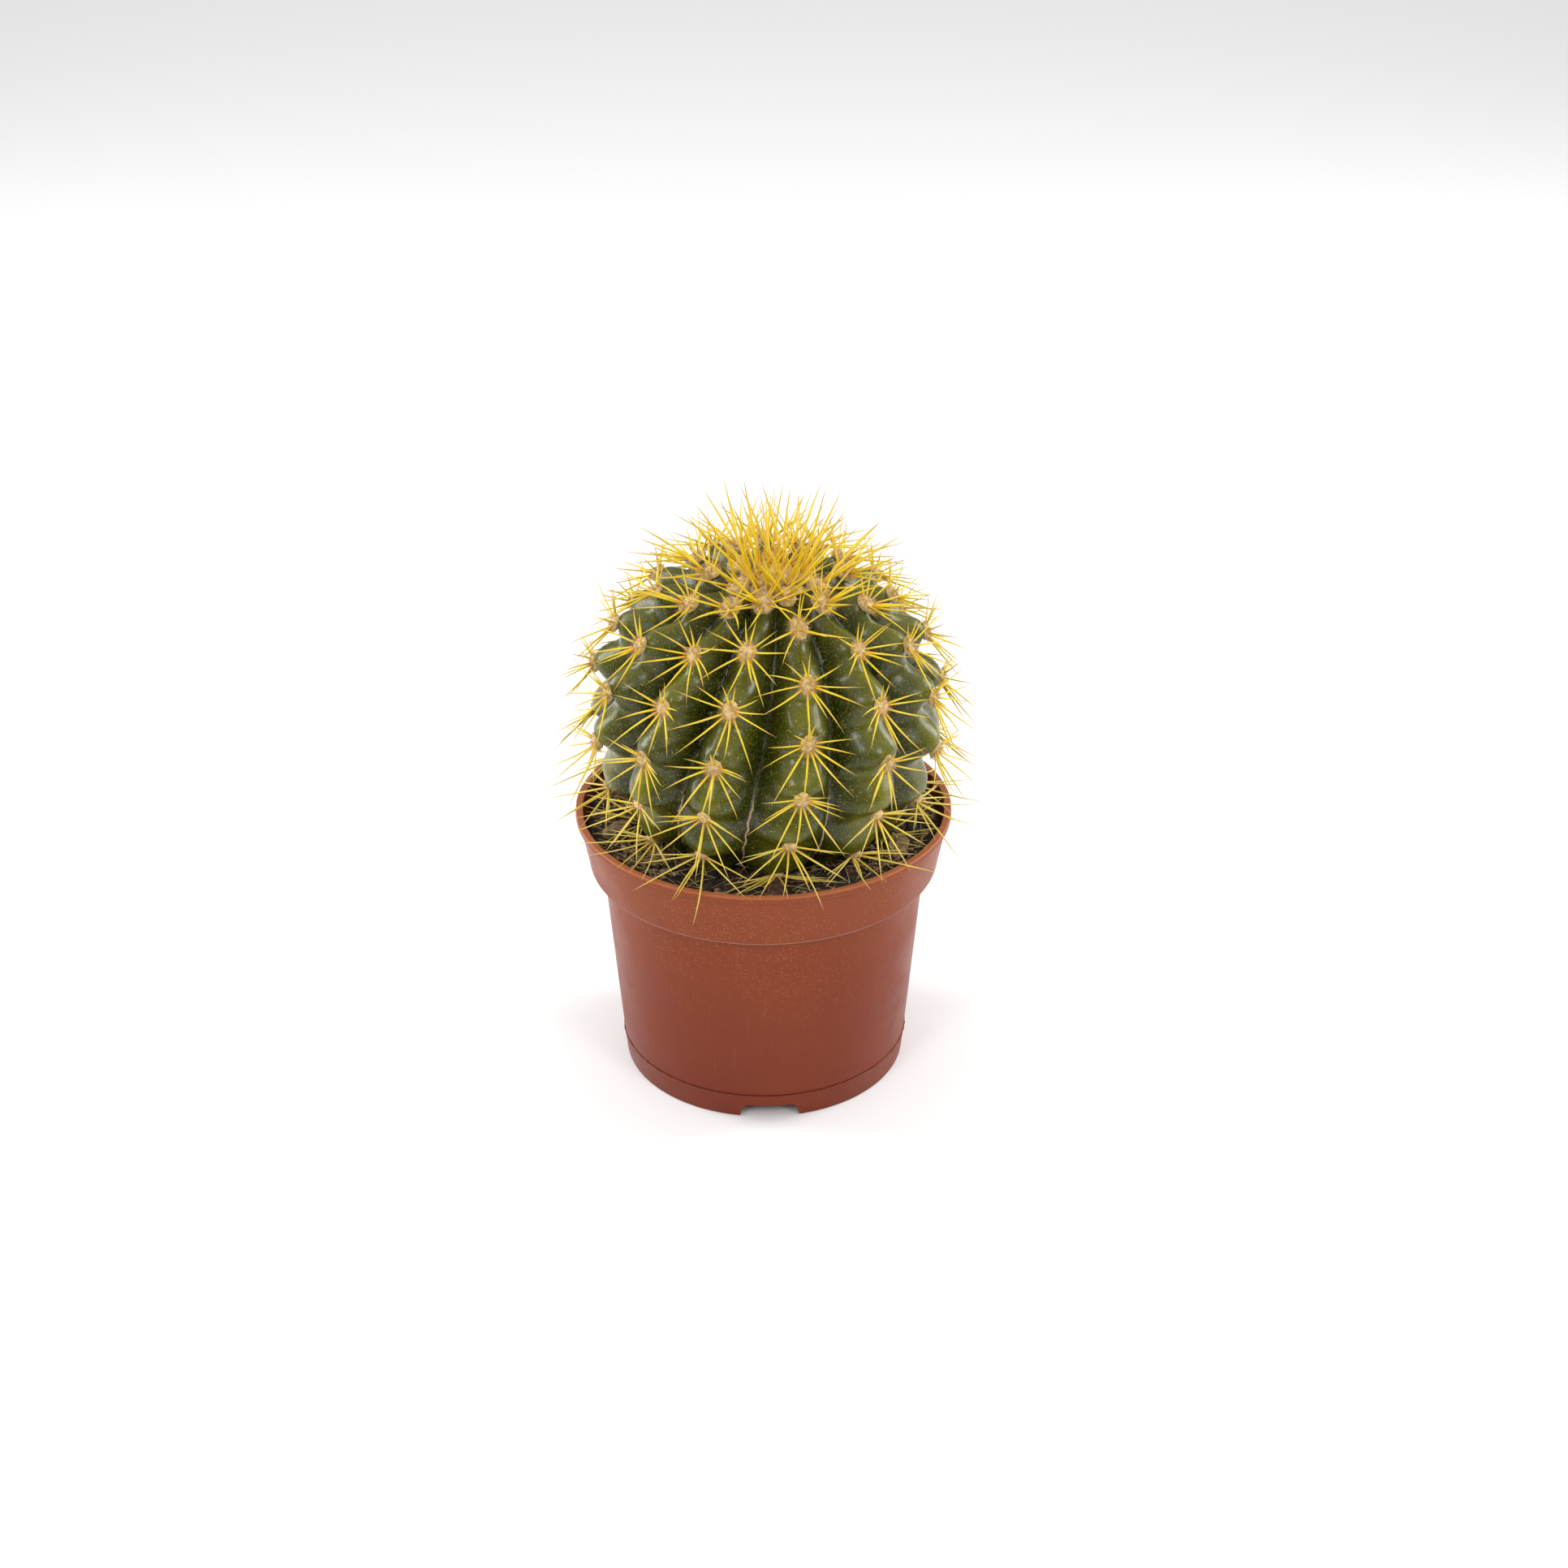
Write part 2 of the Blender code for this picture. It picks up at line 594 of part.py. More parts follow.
clear = Clearance([the_pot, stem, soil] + chips)
crown_tuft(clear)
for row in range(AREOLE_ROWS):
    for rib in range(len(RIBS)):
        areole(rib, row, clear)
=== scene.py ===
import math
import random

import bmesh
import bpy
from mathutils import Matrix, Vector, noise


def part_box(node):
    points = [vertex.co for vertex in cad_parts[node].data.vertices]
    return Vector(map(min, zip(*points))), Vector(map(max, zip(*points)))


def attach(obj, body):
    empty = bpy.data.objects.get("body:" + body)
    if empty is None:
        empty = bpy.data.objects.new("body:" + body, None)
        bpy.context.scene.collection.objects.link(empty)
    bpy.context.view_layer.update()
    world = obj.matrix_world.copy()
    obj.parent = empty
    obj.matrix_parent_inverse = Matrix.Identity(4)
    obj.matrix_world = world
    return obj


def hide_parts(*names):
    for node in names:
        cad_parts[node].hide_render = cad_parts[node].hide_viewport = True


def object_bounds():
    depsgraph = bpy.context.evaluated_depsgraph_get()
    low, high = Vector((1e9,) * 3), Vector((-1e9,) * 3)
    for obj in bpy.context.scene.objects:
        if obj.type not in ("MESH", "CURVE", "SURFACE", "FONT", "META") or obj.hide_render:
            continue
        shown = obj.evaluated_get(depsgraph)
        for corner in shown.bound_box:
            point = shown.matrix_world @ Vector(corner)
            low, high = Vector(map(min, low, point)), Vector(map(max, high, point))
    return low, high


# The looks of a young golden barrel cactus in a moulded nursery pot. Metres, +Z up, and -Y is the front.

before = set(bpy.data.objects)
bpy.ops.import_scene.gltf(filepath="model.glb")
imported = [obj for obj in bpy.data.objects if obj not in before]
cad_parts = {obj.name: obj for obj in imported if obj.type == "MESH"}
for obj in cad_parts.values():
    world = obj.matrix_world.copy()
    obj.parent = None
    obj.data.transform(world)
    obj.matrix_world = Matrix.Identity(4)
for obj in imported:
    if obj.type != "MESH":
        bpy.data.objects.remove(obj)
cad_box = [list(corner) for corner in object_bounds()]

MM = 0.001
SEED = 7  # of the random draws: each piece adds a number of its own

# The pot: its height and its rim come from the solid's box, the rest are the solid's own sizes.
POT_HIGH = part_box("pot")[1]
POT_HEIGHT = POT_HIGH.z
RIM_RADIUS = POT_HIGH.x
COLLAR_FOOT = POT_HEIGHT - 0.0196
COLLAR_FOOT_RADIUS = 0.0562
LIP_HEIGHT = 0.0022
LIP_STAND = 0.0012
BODY_TOP_RADIUS = 0.0520
FOOT_RADIUS = 0.0459
FOOT_RING_WIDTH = 0.0023
FLOOR_RAISE = 0.0054
WALL = 0.0013
PARTING_LEVEL = 0.0086
POT_STEPS = 216
NOTCHES = 3
NOTCH_TURN = math.radians(2)
NOTCH_TOP_WIDTH = 0.0165
NOTCH_FOOT_WIDTH = 0.0195
NOTCH_HEIGHT = 0.0047
DRAIN_HOLES = 6
DRAIN_RADIUS = 0.0042
DRAIN_CIRCLE = 0.031

# The soil, and what lies on it.
SOIL_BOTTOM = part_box("soil")[0].z
SOIL_LEVEL = POT_HEIGHT - 0.0052
SOIL_INSET = 0.0004  # between the soil's side and the pot's wall
SOIL_FLAT_RADIUS = 0.030  # inside it the surface is hidden by the stem, and is left coarse
SOIL_RINGS = 34
SOIL_STEPS = 280
SOIL_LUMPS = ((1.5, 0.014), (0.9, 0.0048), (0.45, 0.0019))  # each size of lump: its height in mm, its spacing
CLUMPS = tuple(math.radians(angle) for angle in (-28, -140, 75, 160))  # where bits gather, round from +X
STRAWS = 520
STANDING_STRAWS = 9

# The stem, as its solid.
STEM_RADIUS = 0.0537
STEM_RISE = 0.0493
STEM_DROP = 0.0545
STEM_PLACE = (
    Matrix.Translation((0.0012, -0.0010, SOIL_LEVEL + 0.0407))
    @ Matrix.Rotation(0.128, 4, "X")
    @ Matrix.Rotation(0.056, 4, "Y")
)
CROWN_DIMPLE = 0.0035
CROWN_DIMPLE_RADIUS = 0.013
FURROW_DEPTH = 0.0135
FURROW_SHAPE = 2.1  # the power that rounds a rib's crest
YOUNG_SHAPE = 1.45  # the same near the crown, where ribs are sharper
SHAPE_CHANGE = (0.5, 1.3)  # the angles from the crown between which one goes over into the other
FURROW_FADE = (math.radians(74), math.radians(112))  # from the crown: furrows grow shallow between the two
FURROW_LEFT = 0.22  # the share of a furrow's depth that is left below them
TUBERCLE = 0.0027
TWIST = math.radians(130)
COLUMNS_PER_RIB = 18
STEM_ROWS = 150
PEAK_ABOVE_AREOLE = 0.13
DIP_BELOW_AREOLE = 0.27

# Each rib: its direction from the front towards +X, the angle of its first areole from the crown, and the
# step from each areole to the next.
RIBS = (
    (-99.0, 21.5, 19.8),
    (-70.5, 31.0, 21.0),
    (-43.5, 23.5, 20.0),
    (-19.0, 17.5, 19.8),
    (10.0, 28.0, 19.4),
    (39.5, 21.0, 19.7),
    (70.0, 31.5, 19.8),
    (98.0, 23.0, 19.6),
    (125.0, 29.5, 19.8),
    (152.0, 20.5, 19.7),
    (179.0, 30.0, 19.5),
    (206.0, 22.0, 19.8),
    (233.5, 30.5, 19.6),
)
SOLID_ROWS = 4
LOW_ROWS = 2

# Areoles and spines.
PAD = Vector((0.0025, 0.0032, 0.0016))
PAD_WISPS = 210
LOW_PAD_WISPS = 60
CROWN_FELT = Vector((0.0075, 0.0075, 0.0032))
CROWN_FELT_WISPS = 420
CROWN_PAD_WISPS = 170
WISP_RADIUS = 0.000065
SPINE_RADIUS = 0.00030
# An areole's radial spines: the direction round it from its right side, in degrees, and the length in mm.
RADIALS = (
    (97, 8.5),
    (72, 9.5),
    (40, 12.0),
    (16, 14.5),
    (-10, 16.0),
    (-40, 18.0),
    (-82, 16.5),
    (-126, 19.0),
    (-157, 17.5),
    (178, 16.0),
    (146, 12.5),
)
CROWN_SPINES = 12
GOLDEN_ANGLE = 2.39996  # spreads the crown's spines evenly
YOUNG_BELOW = 42  # degrees from the crown: the young areoles have longer spines and larger pads
RIM_CLEARANCE = 0.0032  # how far to either side of the rim a spine has to pass above it
BOX_LOW, BOX_HIGH = (Vector(corner) for corner in cad_box)
REACH_OVER = 0.0022  # how far a spine's tip may pass the solids' box

# ---------------------------------------------------------------- shader parts

SMOOTH = {"interpolation_type": "SMOOTHSTEP"}


def put(tree, kind, settings=None, **values):
    """A node, with its settings and its sockets' values or links. Underscores stand for spaces in names."""
    made = tree.nodes.new(kind)
    for key, value in (settings or {}).items():
        setattr(made, key, value)
    for key, value in values.items():
        feed(tree, made.inputs[key.replace("_", " ")], value)
    return made


def feed(tree, socket, value):
    """Links a socket to another, or sets its value. A colour may leave out its alpha."""
    if isinstance(value, bpy.types.NodeSocket):
        tree.links.new(value, socket)
    elif socket.type == "RGBA" and len(value) == 3:
        socket.default_value = (*value, 1)
    else:
        socket.default_value = value


def sums(tree, operation, first, second=0.0, clamp=False):
    """The result of a Math node."""
    made = put(tree, "ShaderNodeMath", {"operation": operation, "use_clamp": clamp})
    feed(tree, made.inputs[0], first)
    feed(tree, made.inputs[1], second)
    return made.outputs[0]


def times(tree, first, second):
    return sums(tree, "MULTIPLY", first, second)


def distance_from(tree, value, mark):
    return sums(tree, "ABSOLUTE", sums(tree, "SUBTRACT", value, mark))


def blend_colours(tree, share, low, high):
    made = put(tree, "ShaderNodeMix", {"data_type": "RGBA"})
    feed(tree, made.inputs[0], share)
    feed(tree, made.inputs[6], low)
    feed(tree, made.inputs[7], high)
    return made.outputs[2]


def between(tree, value, low, high, out_low=0.0, out_high=1.0):
    """A value's place between two others, smoothed and clamped."""
    made = put(tree, "ShaderNodeMapRange", SMOOTH, Value=value)
    made.inputs["From Min"].default_value = low
    made.inputs["From Max"].default_value = high
    made.inputs["To Min"].default_value = out_low
    made.inputs["To Max"].default_value = out_high
    return made.outputs[0]


def stops(tree, value, points):
    """A colour ramp through (place, colour) points."""
    made = put(tree, "ShaderNodeValToRGB", Fac=value)
    ramp = made.color_ramp
    while len(ramp.elements) < len(points):
        ramp.elements.new(0.5)
    for element, (place, colour) in zip(ramp.elements, points):
        element.position = place
        element.color = (*colour, 1)
    return made.outputs[0]


def new_group(name, inputs, outputs):
    """A node group's tree, the sockets it is given and the sockets it puts out, which are all values."""
    tree = bpy.data.node_groups.new(name, "ShaderNodeTree")
    for socket, kind, value in inputs:
        made = tree.interface.new_socket(socket, in_out="INPUT", socket_type=kind)
        if kind == "NodeSocketFloat":
            made.default_value = value
    for socket in outputs:
        tree.interface.new_socket(socket, in_out="OUTPUT", socket_type="NodeSocketFloat")
    return tree, put(tree, "NodeGroupInput").outputs, put(tree, "NodeGroupOutput").inputs


def specks_group():
    """Scattered round specks: Scale sets their spacing, Share how many there are, Size how big."""
    tree, given, result = new_group(
        "specks",
        (
            ("Vector", "NodeSocketVector", None),
            ("Scale", "NodeSocketFloat", 1000),
            ("Share", "NodeSocketFloat", 0.3),
            ("Size", "NodeSocketFloat", 0.3),
        ),
        ("Mask",),
    )
    cells = put(tree, "ShaderNodeTexVoronoi", Vector=given["Vector"], Scale=given["Scale"])
    pick = put(tree, "ShaderNodeSeparateColor", Color=cells.outputs["Color"])
    near = put(tree, "ShaderNodeMapRange", SMOOTH, Value=cells.outputs["Distance"])
    feed(tree, near.inputs["From Min"], given["Size"])
    feed(tree, near.inputs["From Max"], sums(tree, "MULTIPLY", given["Size"], 0.5))
    held = sums(tree, "LESS_THAN", pick.outputs[0], given["Share"])
    feed(tree, result["Mask"], sums(tree, "MULTIPLY", near.outputs[0], held))
    return tree


def mottle_group():
    """Soft blotches from 0 to 1."""
    tree, given, result = new_group(
        "mottle",
        (
            ("Vector", "NodeSocketVector", None),
            ("Scale", "NodeSocketFloat", 100),
            ("Low", "NodeSocketFloat", 0.38),
            ("High", "NodeSocketFloat", 0.62),
        ),
        ("Value",),
    )
    cloud = put(tree, "ShaderNodeTexNoise", Vector=given["Vector"], Scale=given["Scale"], Detail=4.0)
    cloud.inputs["Roughness"].default_value = 0.6
    place = put(tree, "ShaderNodeMapRange", SMOOTH, Value=cloud.outputs[0])
    feed(tree, place.inputs["From Min"], given["Low"])
    feed(tree, place.inputs["From Max"], given["High"])
    feed(tree, result["Value"], place.outputs[0])
    return tree


def grain_group():
    """A fine uneven height, for Bump: a coarse and a fine cloud together."""
    tree, given, result = new_group(
        "grain",
        (
            ("Vector", "NodeSocketVector", None),
            ("Scale", "NodeSocketFloat", 800),
            ("Fine", "NodeSocketFloat", 0.4),
        ),
        ("Height",),
    )
    coarse = put(tree, "ShaderNodeTexNoise", Vector=given["Vector"], Scale=given["Scale"], Detail=3.0)
    fine_scale = sums(tree, "MULTIPLY", given["Scale"], 4.3)
    fine = put(tree, "ShaderNodeTexNoise", Vector=given["Vector"], Scale=fine_scale, Detail=2.0)
    share = sums(tree, "MULTIPLY", fine.outputs[0], given["Fine"])
    feed(tree, result["Height"], sums(tree, "ADD", coarse.outputs[0], share))
    return tree


SPECKS, MOTTLE, GRAIN = specks_group(), mottle_group(), grain_group()


class Finish:
    """A material being built: its tree, its shader and the object's own coordinates."""

    def __init__(self, name, **plain):
        self.material = bpy.data.materials.new(name)
        self.material.use_nodes = True
        self.tree = self.material.node_tree
        self.shader = self.tree.nodes["Principled BSDF"]
        self.place = put(self.tree, "ShaderNodeTexCoord").outputs["Object"]
        for key, value in plain.items():
            feed(self.tree, self.shader.inputs[key.replace("_", " ")], value)

    def stretched(self, x, y, z):
        made = put(self.tree, "ShaderNodeMapping", Vector=self.place)
        made.inputs["Scale"].default_value = (x, y, z)
        return made.outputs[0]

    def attribute(self, name):
        return put(self.tree, "ShaderNodeAttribute", {"attribute_name": name}).outputs["Fac"]

    def height(self):
        return put(self.tree, "ShaderNodeSeparateXYZ", Vector=self.place).outputs["Z"]

    def group(self, tree, vector=None, **values):
        made = put(self.tree, "ShaderNodeGroup", {"node_tree": tree})
        feed(self.tree, made.inputs["Vector"], vector or self.place)
        for key, value in values.items():
            feed(self.tree, made.inputs[key], value)
        return made.outputs[0]

    def colour(self, value):
        feed(self.tree, self.shader.inputs["Base Color"], value)

    def roughness(self, value):
        feed(self.tree, self.shader.inputs["Roughness"], value)

    def bump(self, height, depth, strength=1.0):
        made = put(self.tree, "ShaderNodeBump", Height=height, Distance=depth, Strength=strength)
        feed(self.tree, self.shader.inputs["Normal"], made.outputs[0])


def plastic_finish():
    """Terracotta-coloured moulded plastic: gold and dark specks of dust, faint scuffs down the wall, painted
    shade towards the foot and in the parting line's groove, and painted highlights along the collar's lower
    edge and on the rim's top.
    """
    made = Finish("pot_plastic", IOR=1.45, Specular_IOR_Level=0.22)
    tree, level = made.tree, made.height()
    # The wall's colour darkens towards the foot and lightens at the collar: painted shade where less light
    # reaches.
    wall = stops(
        tree,
        between(tree, level, 0, POT_HEIGHT),
        (
            (0.0, (0.170, 0.027, 0.009)),
            (0.35, (0.180, 0.029, 0.010)),
            (0.75, (0.205, 0.036, 0.011)),
            (1.0, (0.235, 0.048, 0.014)),
        ),
    )
    patches = made.group(MOTTLE, Scale=32.0, Low=0.3, High=0.75)
    wall = blend_colours(tree, times(tree, patches, 0.25), wall, (0.25, 0.055, 0.018))
    streaks = made.group(MOTTLE, made.stretched(1, 1, 0.06), Scale=520.0, Low=0.62, High=0.80)
    wall = blend_colours(tree, times(tree, streaks, 0.22), wall, (0.36, 0.15, 0.09))
    upper = between(tree, level, 0.25 * POT_HEIGHT, 0.85 * POT_HEIGHT, 0.10, 1.0)
    drift = made.group(MOTTLE, Scale=26.0, Low=0.35, High=0.62)
    dust = made.group(SPECKS, Scale=1700.0, Share=0.30, Size=0.34)
    settled = times(tree, upper, sums(tree, "ADD", drift, 0.25))
    dust = sums(tree, "MULTIPLY", dust, settled, True)
    wall = blend_colours(tree, times(tree, dust, 0.60), wall, (0.58, 0.28, 0.04))
    pores = made.group(SPECKS, Scale=330.0, Share=0.06, Size=0.12)
    wall = blend_colours(tree, times(tree, pores, 0.8), wall, (0.045, 0.014, 0.009))
    # A pale line along the collar's rounded lower edge: a painted highlight.
    edge = between(tree, distance_from(tree, level, COLLAR_FOOT + 0.45 * MM), 0.1 * MM, 0.5 * MM, 0.45, 0.0)
    wall = blend_colours(tree, edge, wall, (0.60, 0.36, 0.28))
    # The rim's top is lightened: a painted highlight where the lip faces the light.
    lip = between(tree, level, POT_HEIGHT - 0.9 * MM, POT_HEIGHT - 0.1 * MM, 0.0, 0.45)
    wall = blend_colours(tree, lip, wall, (0.52, 0.20, 0.085))
    # A dark line in the parting line's groove: painted shade.
    seam = distance_from(tree, level, PARTING_LEVEL + 0.25 * MM)
    seam = between(tree, seam, 0.05 * MM, 0.22 * MM, 0.75, 0.0)
    wall = blend_colours(tree, seam, wall, (0.07, 0.016, 0.010))
    made.colour(wall)
    made.roughness(between(tree, made.group(MOTTLE, Scale=60.0, Low=0.3, High=0.7), 0, 1, 0.34, 0.47))
    made.bump(made.group(GRAIN, Scale=1500.0, Fine=0.6), 0.02 * MM, 0.7)
    return made.material


def skin_finish():
    """Glossy waxy skin: painted shade darkening the furrows, painted light in yellow-green on the crests
    round the middle, pale specks, and cork along old furrows.
    """
    made = Finish("stem_skin", IOR=1.45, Specular_IOR_Level=0.35, Coat_Weight=0.20, Coat_Roughness=0.14)
    middle_level = STEM_PLACE.translation.z
    tree, crest = made.tree, made.attribute("crest")
    # The skin darkens from the crests down into the furrows: painted shade in the furrows.
    skin = stops(
        tree,
        crest,
        (
            (0.0, (0.005, 0.007, 0.001)),
            (0.10, (0.010, 0.014, 0.002)),
            (0.45, (0.024, 0.030, 0.0025)),
            (1.0, (0.048, 0.054, 0.003)),
        ),
    )
    level = made.height()
    # Yellow-green on the crests in a band round the middle height: painted light, where the crests catch the
    # lamps.
    band = between(tree, distance_from(tree, level, middle_level + 4 * MM), 14 * MM, 46 * MM, 1.0, 0.15)
    crest_painted_light = made.group(MOTTLE, Scale=34.0, Low=0.34, High=0.60)
    crest_painted_light = times(tree, times(tree, crest_painted_light, band), between(tree, crest, 0.25, 1.0))
    skin = blend_colours(tree, times(tree, crest_painted_light, 0.62), skin, (0.185, 0.180, 0.006))
    grainy = made.group(MOTTLE, Scale=1900.0, Low=0.44, High=0.62)
    skin = blend_colours(tree, times(tree, grainy, 0.22), skin, (0.22, 0.21, 0.010))
    specks = made.group(SPECKS, Scale=1350.0, Share=0.42, Size=0.42)
    skin = blend_colours(tree, times(tree, specks, 0.42), skin, (0.36, 0.32, 0.02))
    motes = made.group(SPECKS, Scale=520.0, Share=0.20, Size=0.15)
    skin = blend_colours(tree, times(tree, motes, 0.75), skin, (0.60, 0.46, 0.05))
    old = between(tree, level, middle_level - 4 * MM, middle_level - 16 * MM)
    broken = made.group(MOTTLE, Scale=150.0, Low=0.30, High=0.46)
    cloud = put(tree, "ShaderNodeTexNoise", Vector=made.place, Scale=260.0, Detail=2.0)
    wander = times(tree, sums(tree, "SUBTRACT", cloud.outputs[0], 0.5), 0.17)
    line = distance_from(tree, made.attribute("from_furrow"), wander)
    old = times(tree, times(tree, old, broken), between(tree, crest, 0.2, 0.3, 1.0, 0.0))
    dark_edge = times(tree, old, between(tree, line, 0.025, 0.09, 0.6, 0.0))
    skin = blend_colours(tree, dark_edge, skin, (0.016, 0.014, 0.004))
    cork = times(tree, old, between(tree, line, 0.012, 0.032, 1.0, 0.0))
    skin = blend_colours(tree, times(tree, cork, 0.9), skin, (0.46, 0.35, 0.17))
    made.colour(skin)
    gloss = between(tree, made.group(MOTTLE, Scale=140.0, Low=0.3, High=0.7), 0, 1, 0.25, 0.38)
    made.roughness(sums(tree, "ADD", gloss, times(tree, cork, 0.4), True))
    made.bump(made.group(GRAIN, Scale=700.0, Fine=0.6), 0.05 * MM, 0.4)
    return made.material


def spine_finish():
    """Horny yellow spines: ochre where they leave the felt, clear yellow along, paler where they are old."""
    made = Finish("spine", IOR=1.5, Subsurface_Weight=0.06, Subsurface_Scale=0.001)
    made.shader.inputs["Subsurface Radius"].default_value = (1.0, 0.6, 0.1)
    tree, along = made.tree, made.attribute("along")
    young = stops(
        tree,
        along,
        (
            (0.0, (0.44, 0.18, 0.015)),
            (0.12, (0.72, 0.42, 0.008)),
            (0.32, (0.84, 0.63, 0.010)),
            (0.7, (0.72, 0.50, 0.02)),
            (1.0, (0.36, 0.21, 0.06)),
        ),
    )
    ends = ((0.0, (0.50, 0.30, 0.12)), (0.2, (0.75, 0.58, 0.09)), (1.0, (0.74, 0.60, 0.18)))
    old = stops(tree, along, ends)
    horn = blend_colours(tree, made.attribute("age"), young, old)
    rings = made.group(MOTTLE, Scale=900.0, Low=0.4, High=0.7)
    made.colour(blend_colours(tree, times(tree, rings, 0.25), horn, (0.62, 0.36, 0.03)))
    made.roughness(between(tree, rings, 0, 1, 0.34, 0.5))
    made.bump(made.group(GRAIN, Scale=2600.0, Fine=0.4), 0.03 * MM, 0.5)
    return made.material


def felt_finish():
    """Short tan felt with a few brown flecks."""
    made = Finish("areole_felt", Sheen_Weight=0.5, Sheen_Roughness=0.5)
    tree = made.tree
    wool = blend_colours(tree, made.group(MOTTLE, Scale=700.0), (0.50, 0.31, 0.09), (0.82, 0.60, 0.26))
    flecks = made.group(SPECKS, Scale=1100.0, Share=0.18, Size=0.42)
    made.colour(blend_colours(tree, times(tree, flecks, 0.6), wool, (0.26, 0.12, 0.04)))
    made.roughness(between(tree, wool, 0, 1, 0.85, 0.98))
    made.bump(made.group(GRAIN, Scale=2200.0, Fine=0.7), 0.12 * MM)
    return made.material


def earthy_finish(name, dark, light, scale, depth, fleck=None):
    """Rough mottled stuff: soil, crumbs, straw, bark and roots differ in colour, scale and depth."""
    made = Finish(name)
    tree = made.tree
    stuff = blend_colours(tree, made.group(MOTTLE, Scale=scale, Low=0.35, High=0.68), dark, light)
    if fleck:
        bits = made.group(SPECKS, Scale=1.7 * scale, Share=0.22, Size=0.28)
        stuff = blend_colours(tree, times(tree, bits, 0.7), stuff, fleck)
    made.colour(stuff)
    made.roughness(between(tree, made.group(MOTTLE, Scale=2 * scale), 0, 1, 0.78, 0.98))
    made.bump(made.group(GRAIN, Scale=1.4 * scale, Fine=0.7), depth)
    return made.material


FINISHES = {
    "plastic": plastic_finish(),
    "skin": skin_finish(),
    "spine": spine_finish(),
    "felt": felt_finish(),
}
# What lies in and on the soil: two names, two colours, a scale, a depth and a fleck's colour.
for key, name, dark, light, scale, depth, fleck in (
    ("peat", "peat", (0.007, 0.005, 0.003), (0.050, 0.029, 0.014), 420, 0.5 * MM, (0.24, 0.16, 0.07)),
    ("crumb", "tan_crumb", (0.13, 0.075, 0.032), (0.36, 0.24, 0.11), 600, 0.25 * MM, (0.05, 0.03, 0.015)),
    ("straw", "straw", (0.24, 0.16, 0.06), (0.56, 0.42, 0.19), 500, 0.06 * MM, None),
    ("bark", "bark", (0.060, 0.022, 0.012), (0.27, 0.12, 0.06), 300, 0.3 * MM, (0.40, 0.24, 0.12)),
    ("root", "root", (0.22, 0.14, 0.07), (0.45, 0.33, 0.19), 300, 0.2 * MM, None),
):
    FINISHES[key] = earthy_finish(name, dark, light, scale, depth, fleck)

# ---------------------------------------------------------------- making pieces


def add(name, bm, slot, *finishes, sharp=None, stands_for=()):
    """A finished piece from a bmesh: placed in its mesh, riding with the plant. Its slot argument is not
    used.
    """
    mesh = bpy.data.meshes.new(name)
    bm.to_mesh(mesh)
    bm.free()
    mesh.shade_smooth()
    if sharp:
        mesh.set_sharp_from_angle(angle=math.radians(sharp))
    for finish in finishes:
        mesh.materials.append(FINISHES[finish])
    piece = bpy.data.objects.new(name, mesh)
    bpy.context.scene.collection.objects.link(piece)
    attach(piece, "root")
    if stands_for:
        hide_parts(*stands_for)
    return piece


def clamped(value):
    return max(0.0, min(1.0, value))


def outward(bm):
    bmesh.ops.recalc_face_normals(bm, faces=bm.faces[:])
    if bm.calc_volume(signed=True) < 0:
        bmesh.ops.reverse_faces(bm, faces=bm.faces[:])


def turned(profile, steps):
    """(radius, height) points from the axis round to the axis, spun about Z into a closed solid."""
    bm = bmesh.new()
    points = [bm.verts.new((radius, 0, height)) for radius, height in profile]
    edges = [bm.edges.new(pair) for pair in zip(points, points[1:])]
    bmesh.ops.spin(bm, geom=points + edges, axis=(0, 0, 1), steps=steps, angle=math.tau, use_merge=True)
    bmesh.ops.remove_doubles(bm, verts=bm.verts[:], dist=1e-6)
    outward(bm)
    return bm


def arc(centre, radius, start, end, steps=4):
    """Points of a round edge in the (radius, height) plane, between two angles in degrees."""
    angles = [math.radians(start + (end - start) * step / steps) for step in range(steps + 1)]
    return [(centre[0] + radius * math.cos(angle), centre[1] + radius * math.sin(angle)) for angle in angles]


def cut(bm, knives):
    """The bmesh with the knives' shapes taken out of it."""
    meshes = []
    for index, shape in enumerate([bm] + knives):
        mesh = bpy.data.meshes.new(f"cut_{index}")
        shape.to_mesh(mesh)
        shape.free()
        meshes.append(mesh)
    objects = [bpy.data.objects.new(mesh.name, mesh) for mesh in meshes]
    for obj in objects:
        bpy.context.scene.collection.objects.link(obj)
    for knife in objects[1:]:
        modifier = objects[0].modifiers.new(knife.name, "BOOLEAN")
        modifier.operation, modifier.object = "DIFFERENCE", knife
    bpy.context.view_layer.update()
    result = bmesh.new()
    result.from_object(objects[0], bpy.context.evaluated_depsgraph_get())
    for obj, mesh in zip(objects, meshes):
        bpy.data.objects.remove(obj)
        bpy.data.meshes.remove(mesh)
    return result


# ---------------------------------------------------------------- pot


def wall_radius(height):
    """The pot's inner radius at a height."""
    marks = (
        (0, FOOT_RADIUS),
        (COLLAR_FOOT, BODY_TOP_RADIUS),
        (COLLAR_FOOT + 2 * WALL, COLLAR_FOOT_RADIUS),
        (POT_HEIGHT, RIM_RADIUS - LIP_STAND),
    )
    for (low, low_radius), (high, high_radius) in zip(marks, marks[1:]):
        if height <= high:
            return low_radius + (high_radius - low_radius) * (height - low) / (high - low) - WALL
    return marks[-1][1] - WALL


def body_radius(height):
    """The pot's outer radius below the collar."""
    return FOOT_RADIUS + (BODY_TOP_RADIUS - FOOT_RADIUS) * height / COLLAR_FOOT


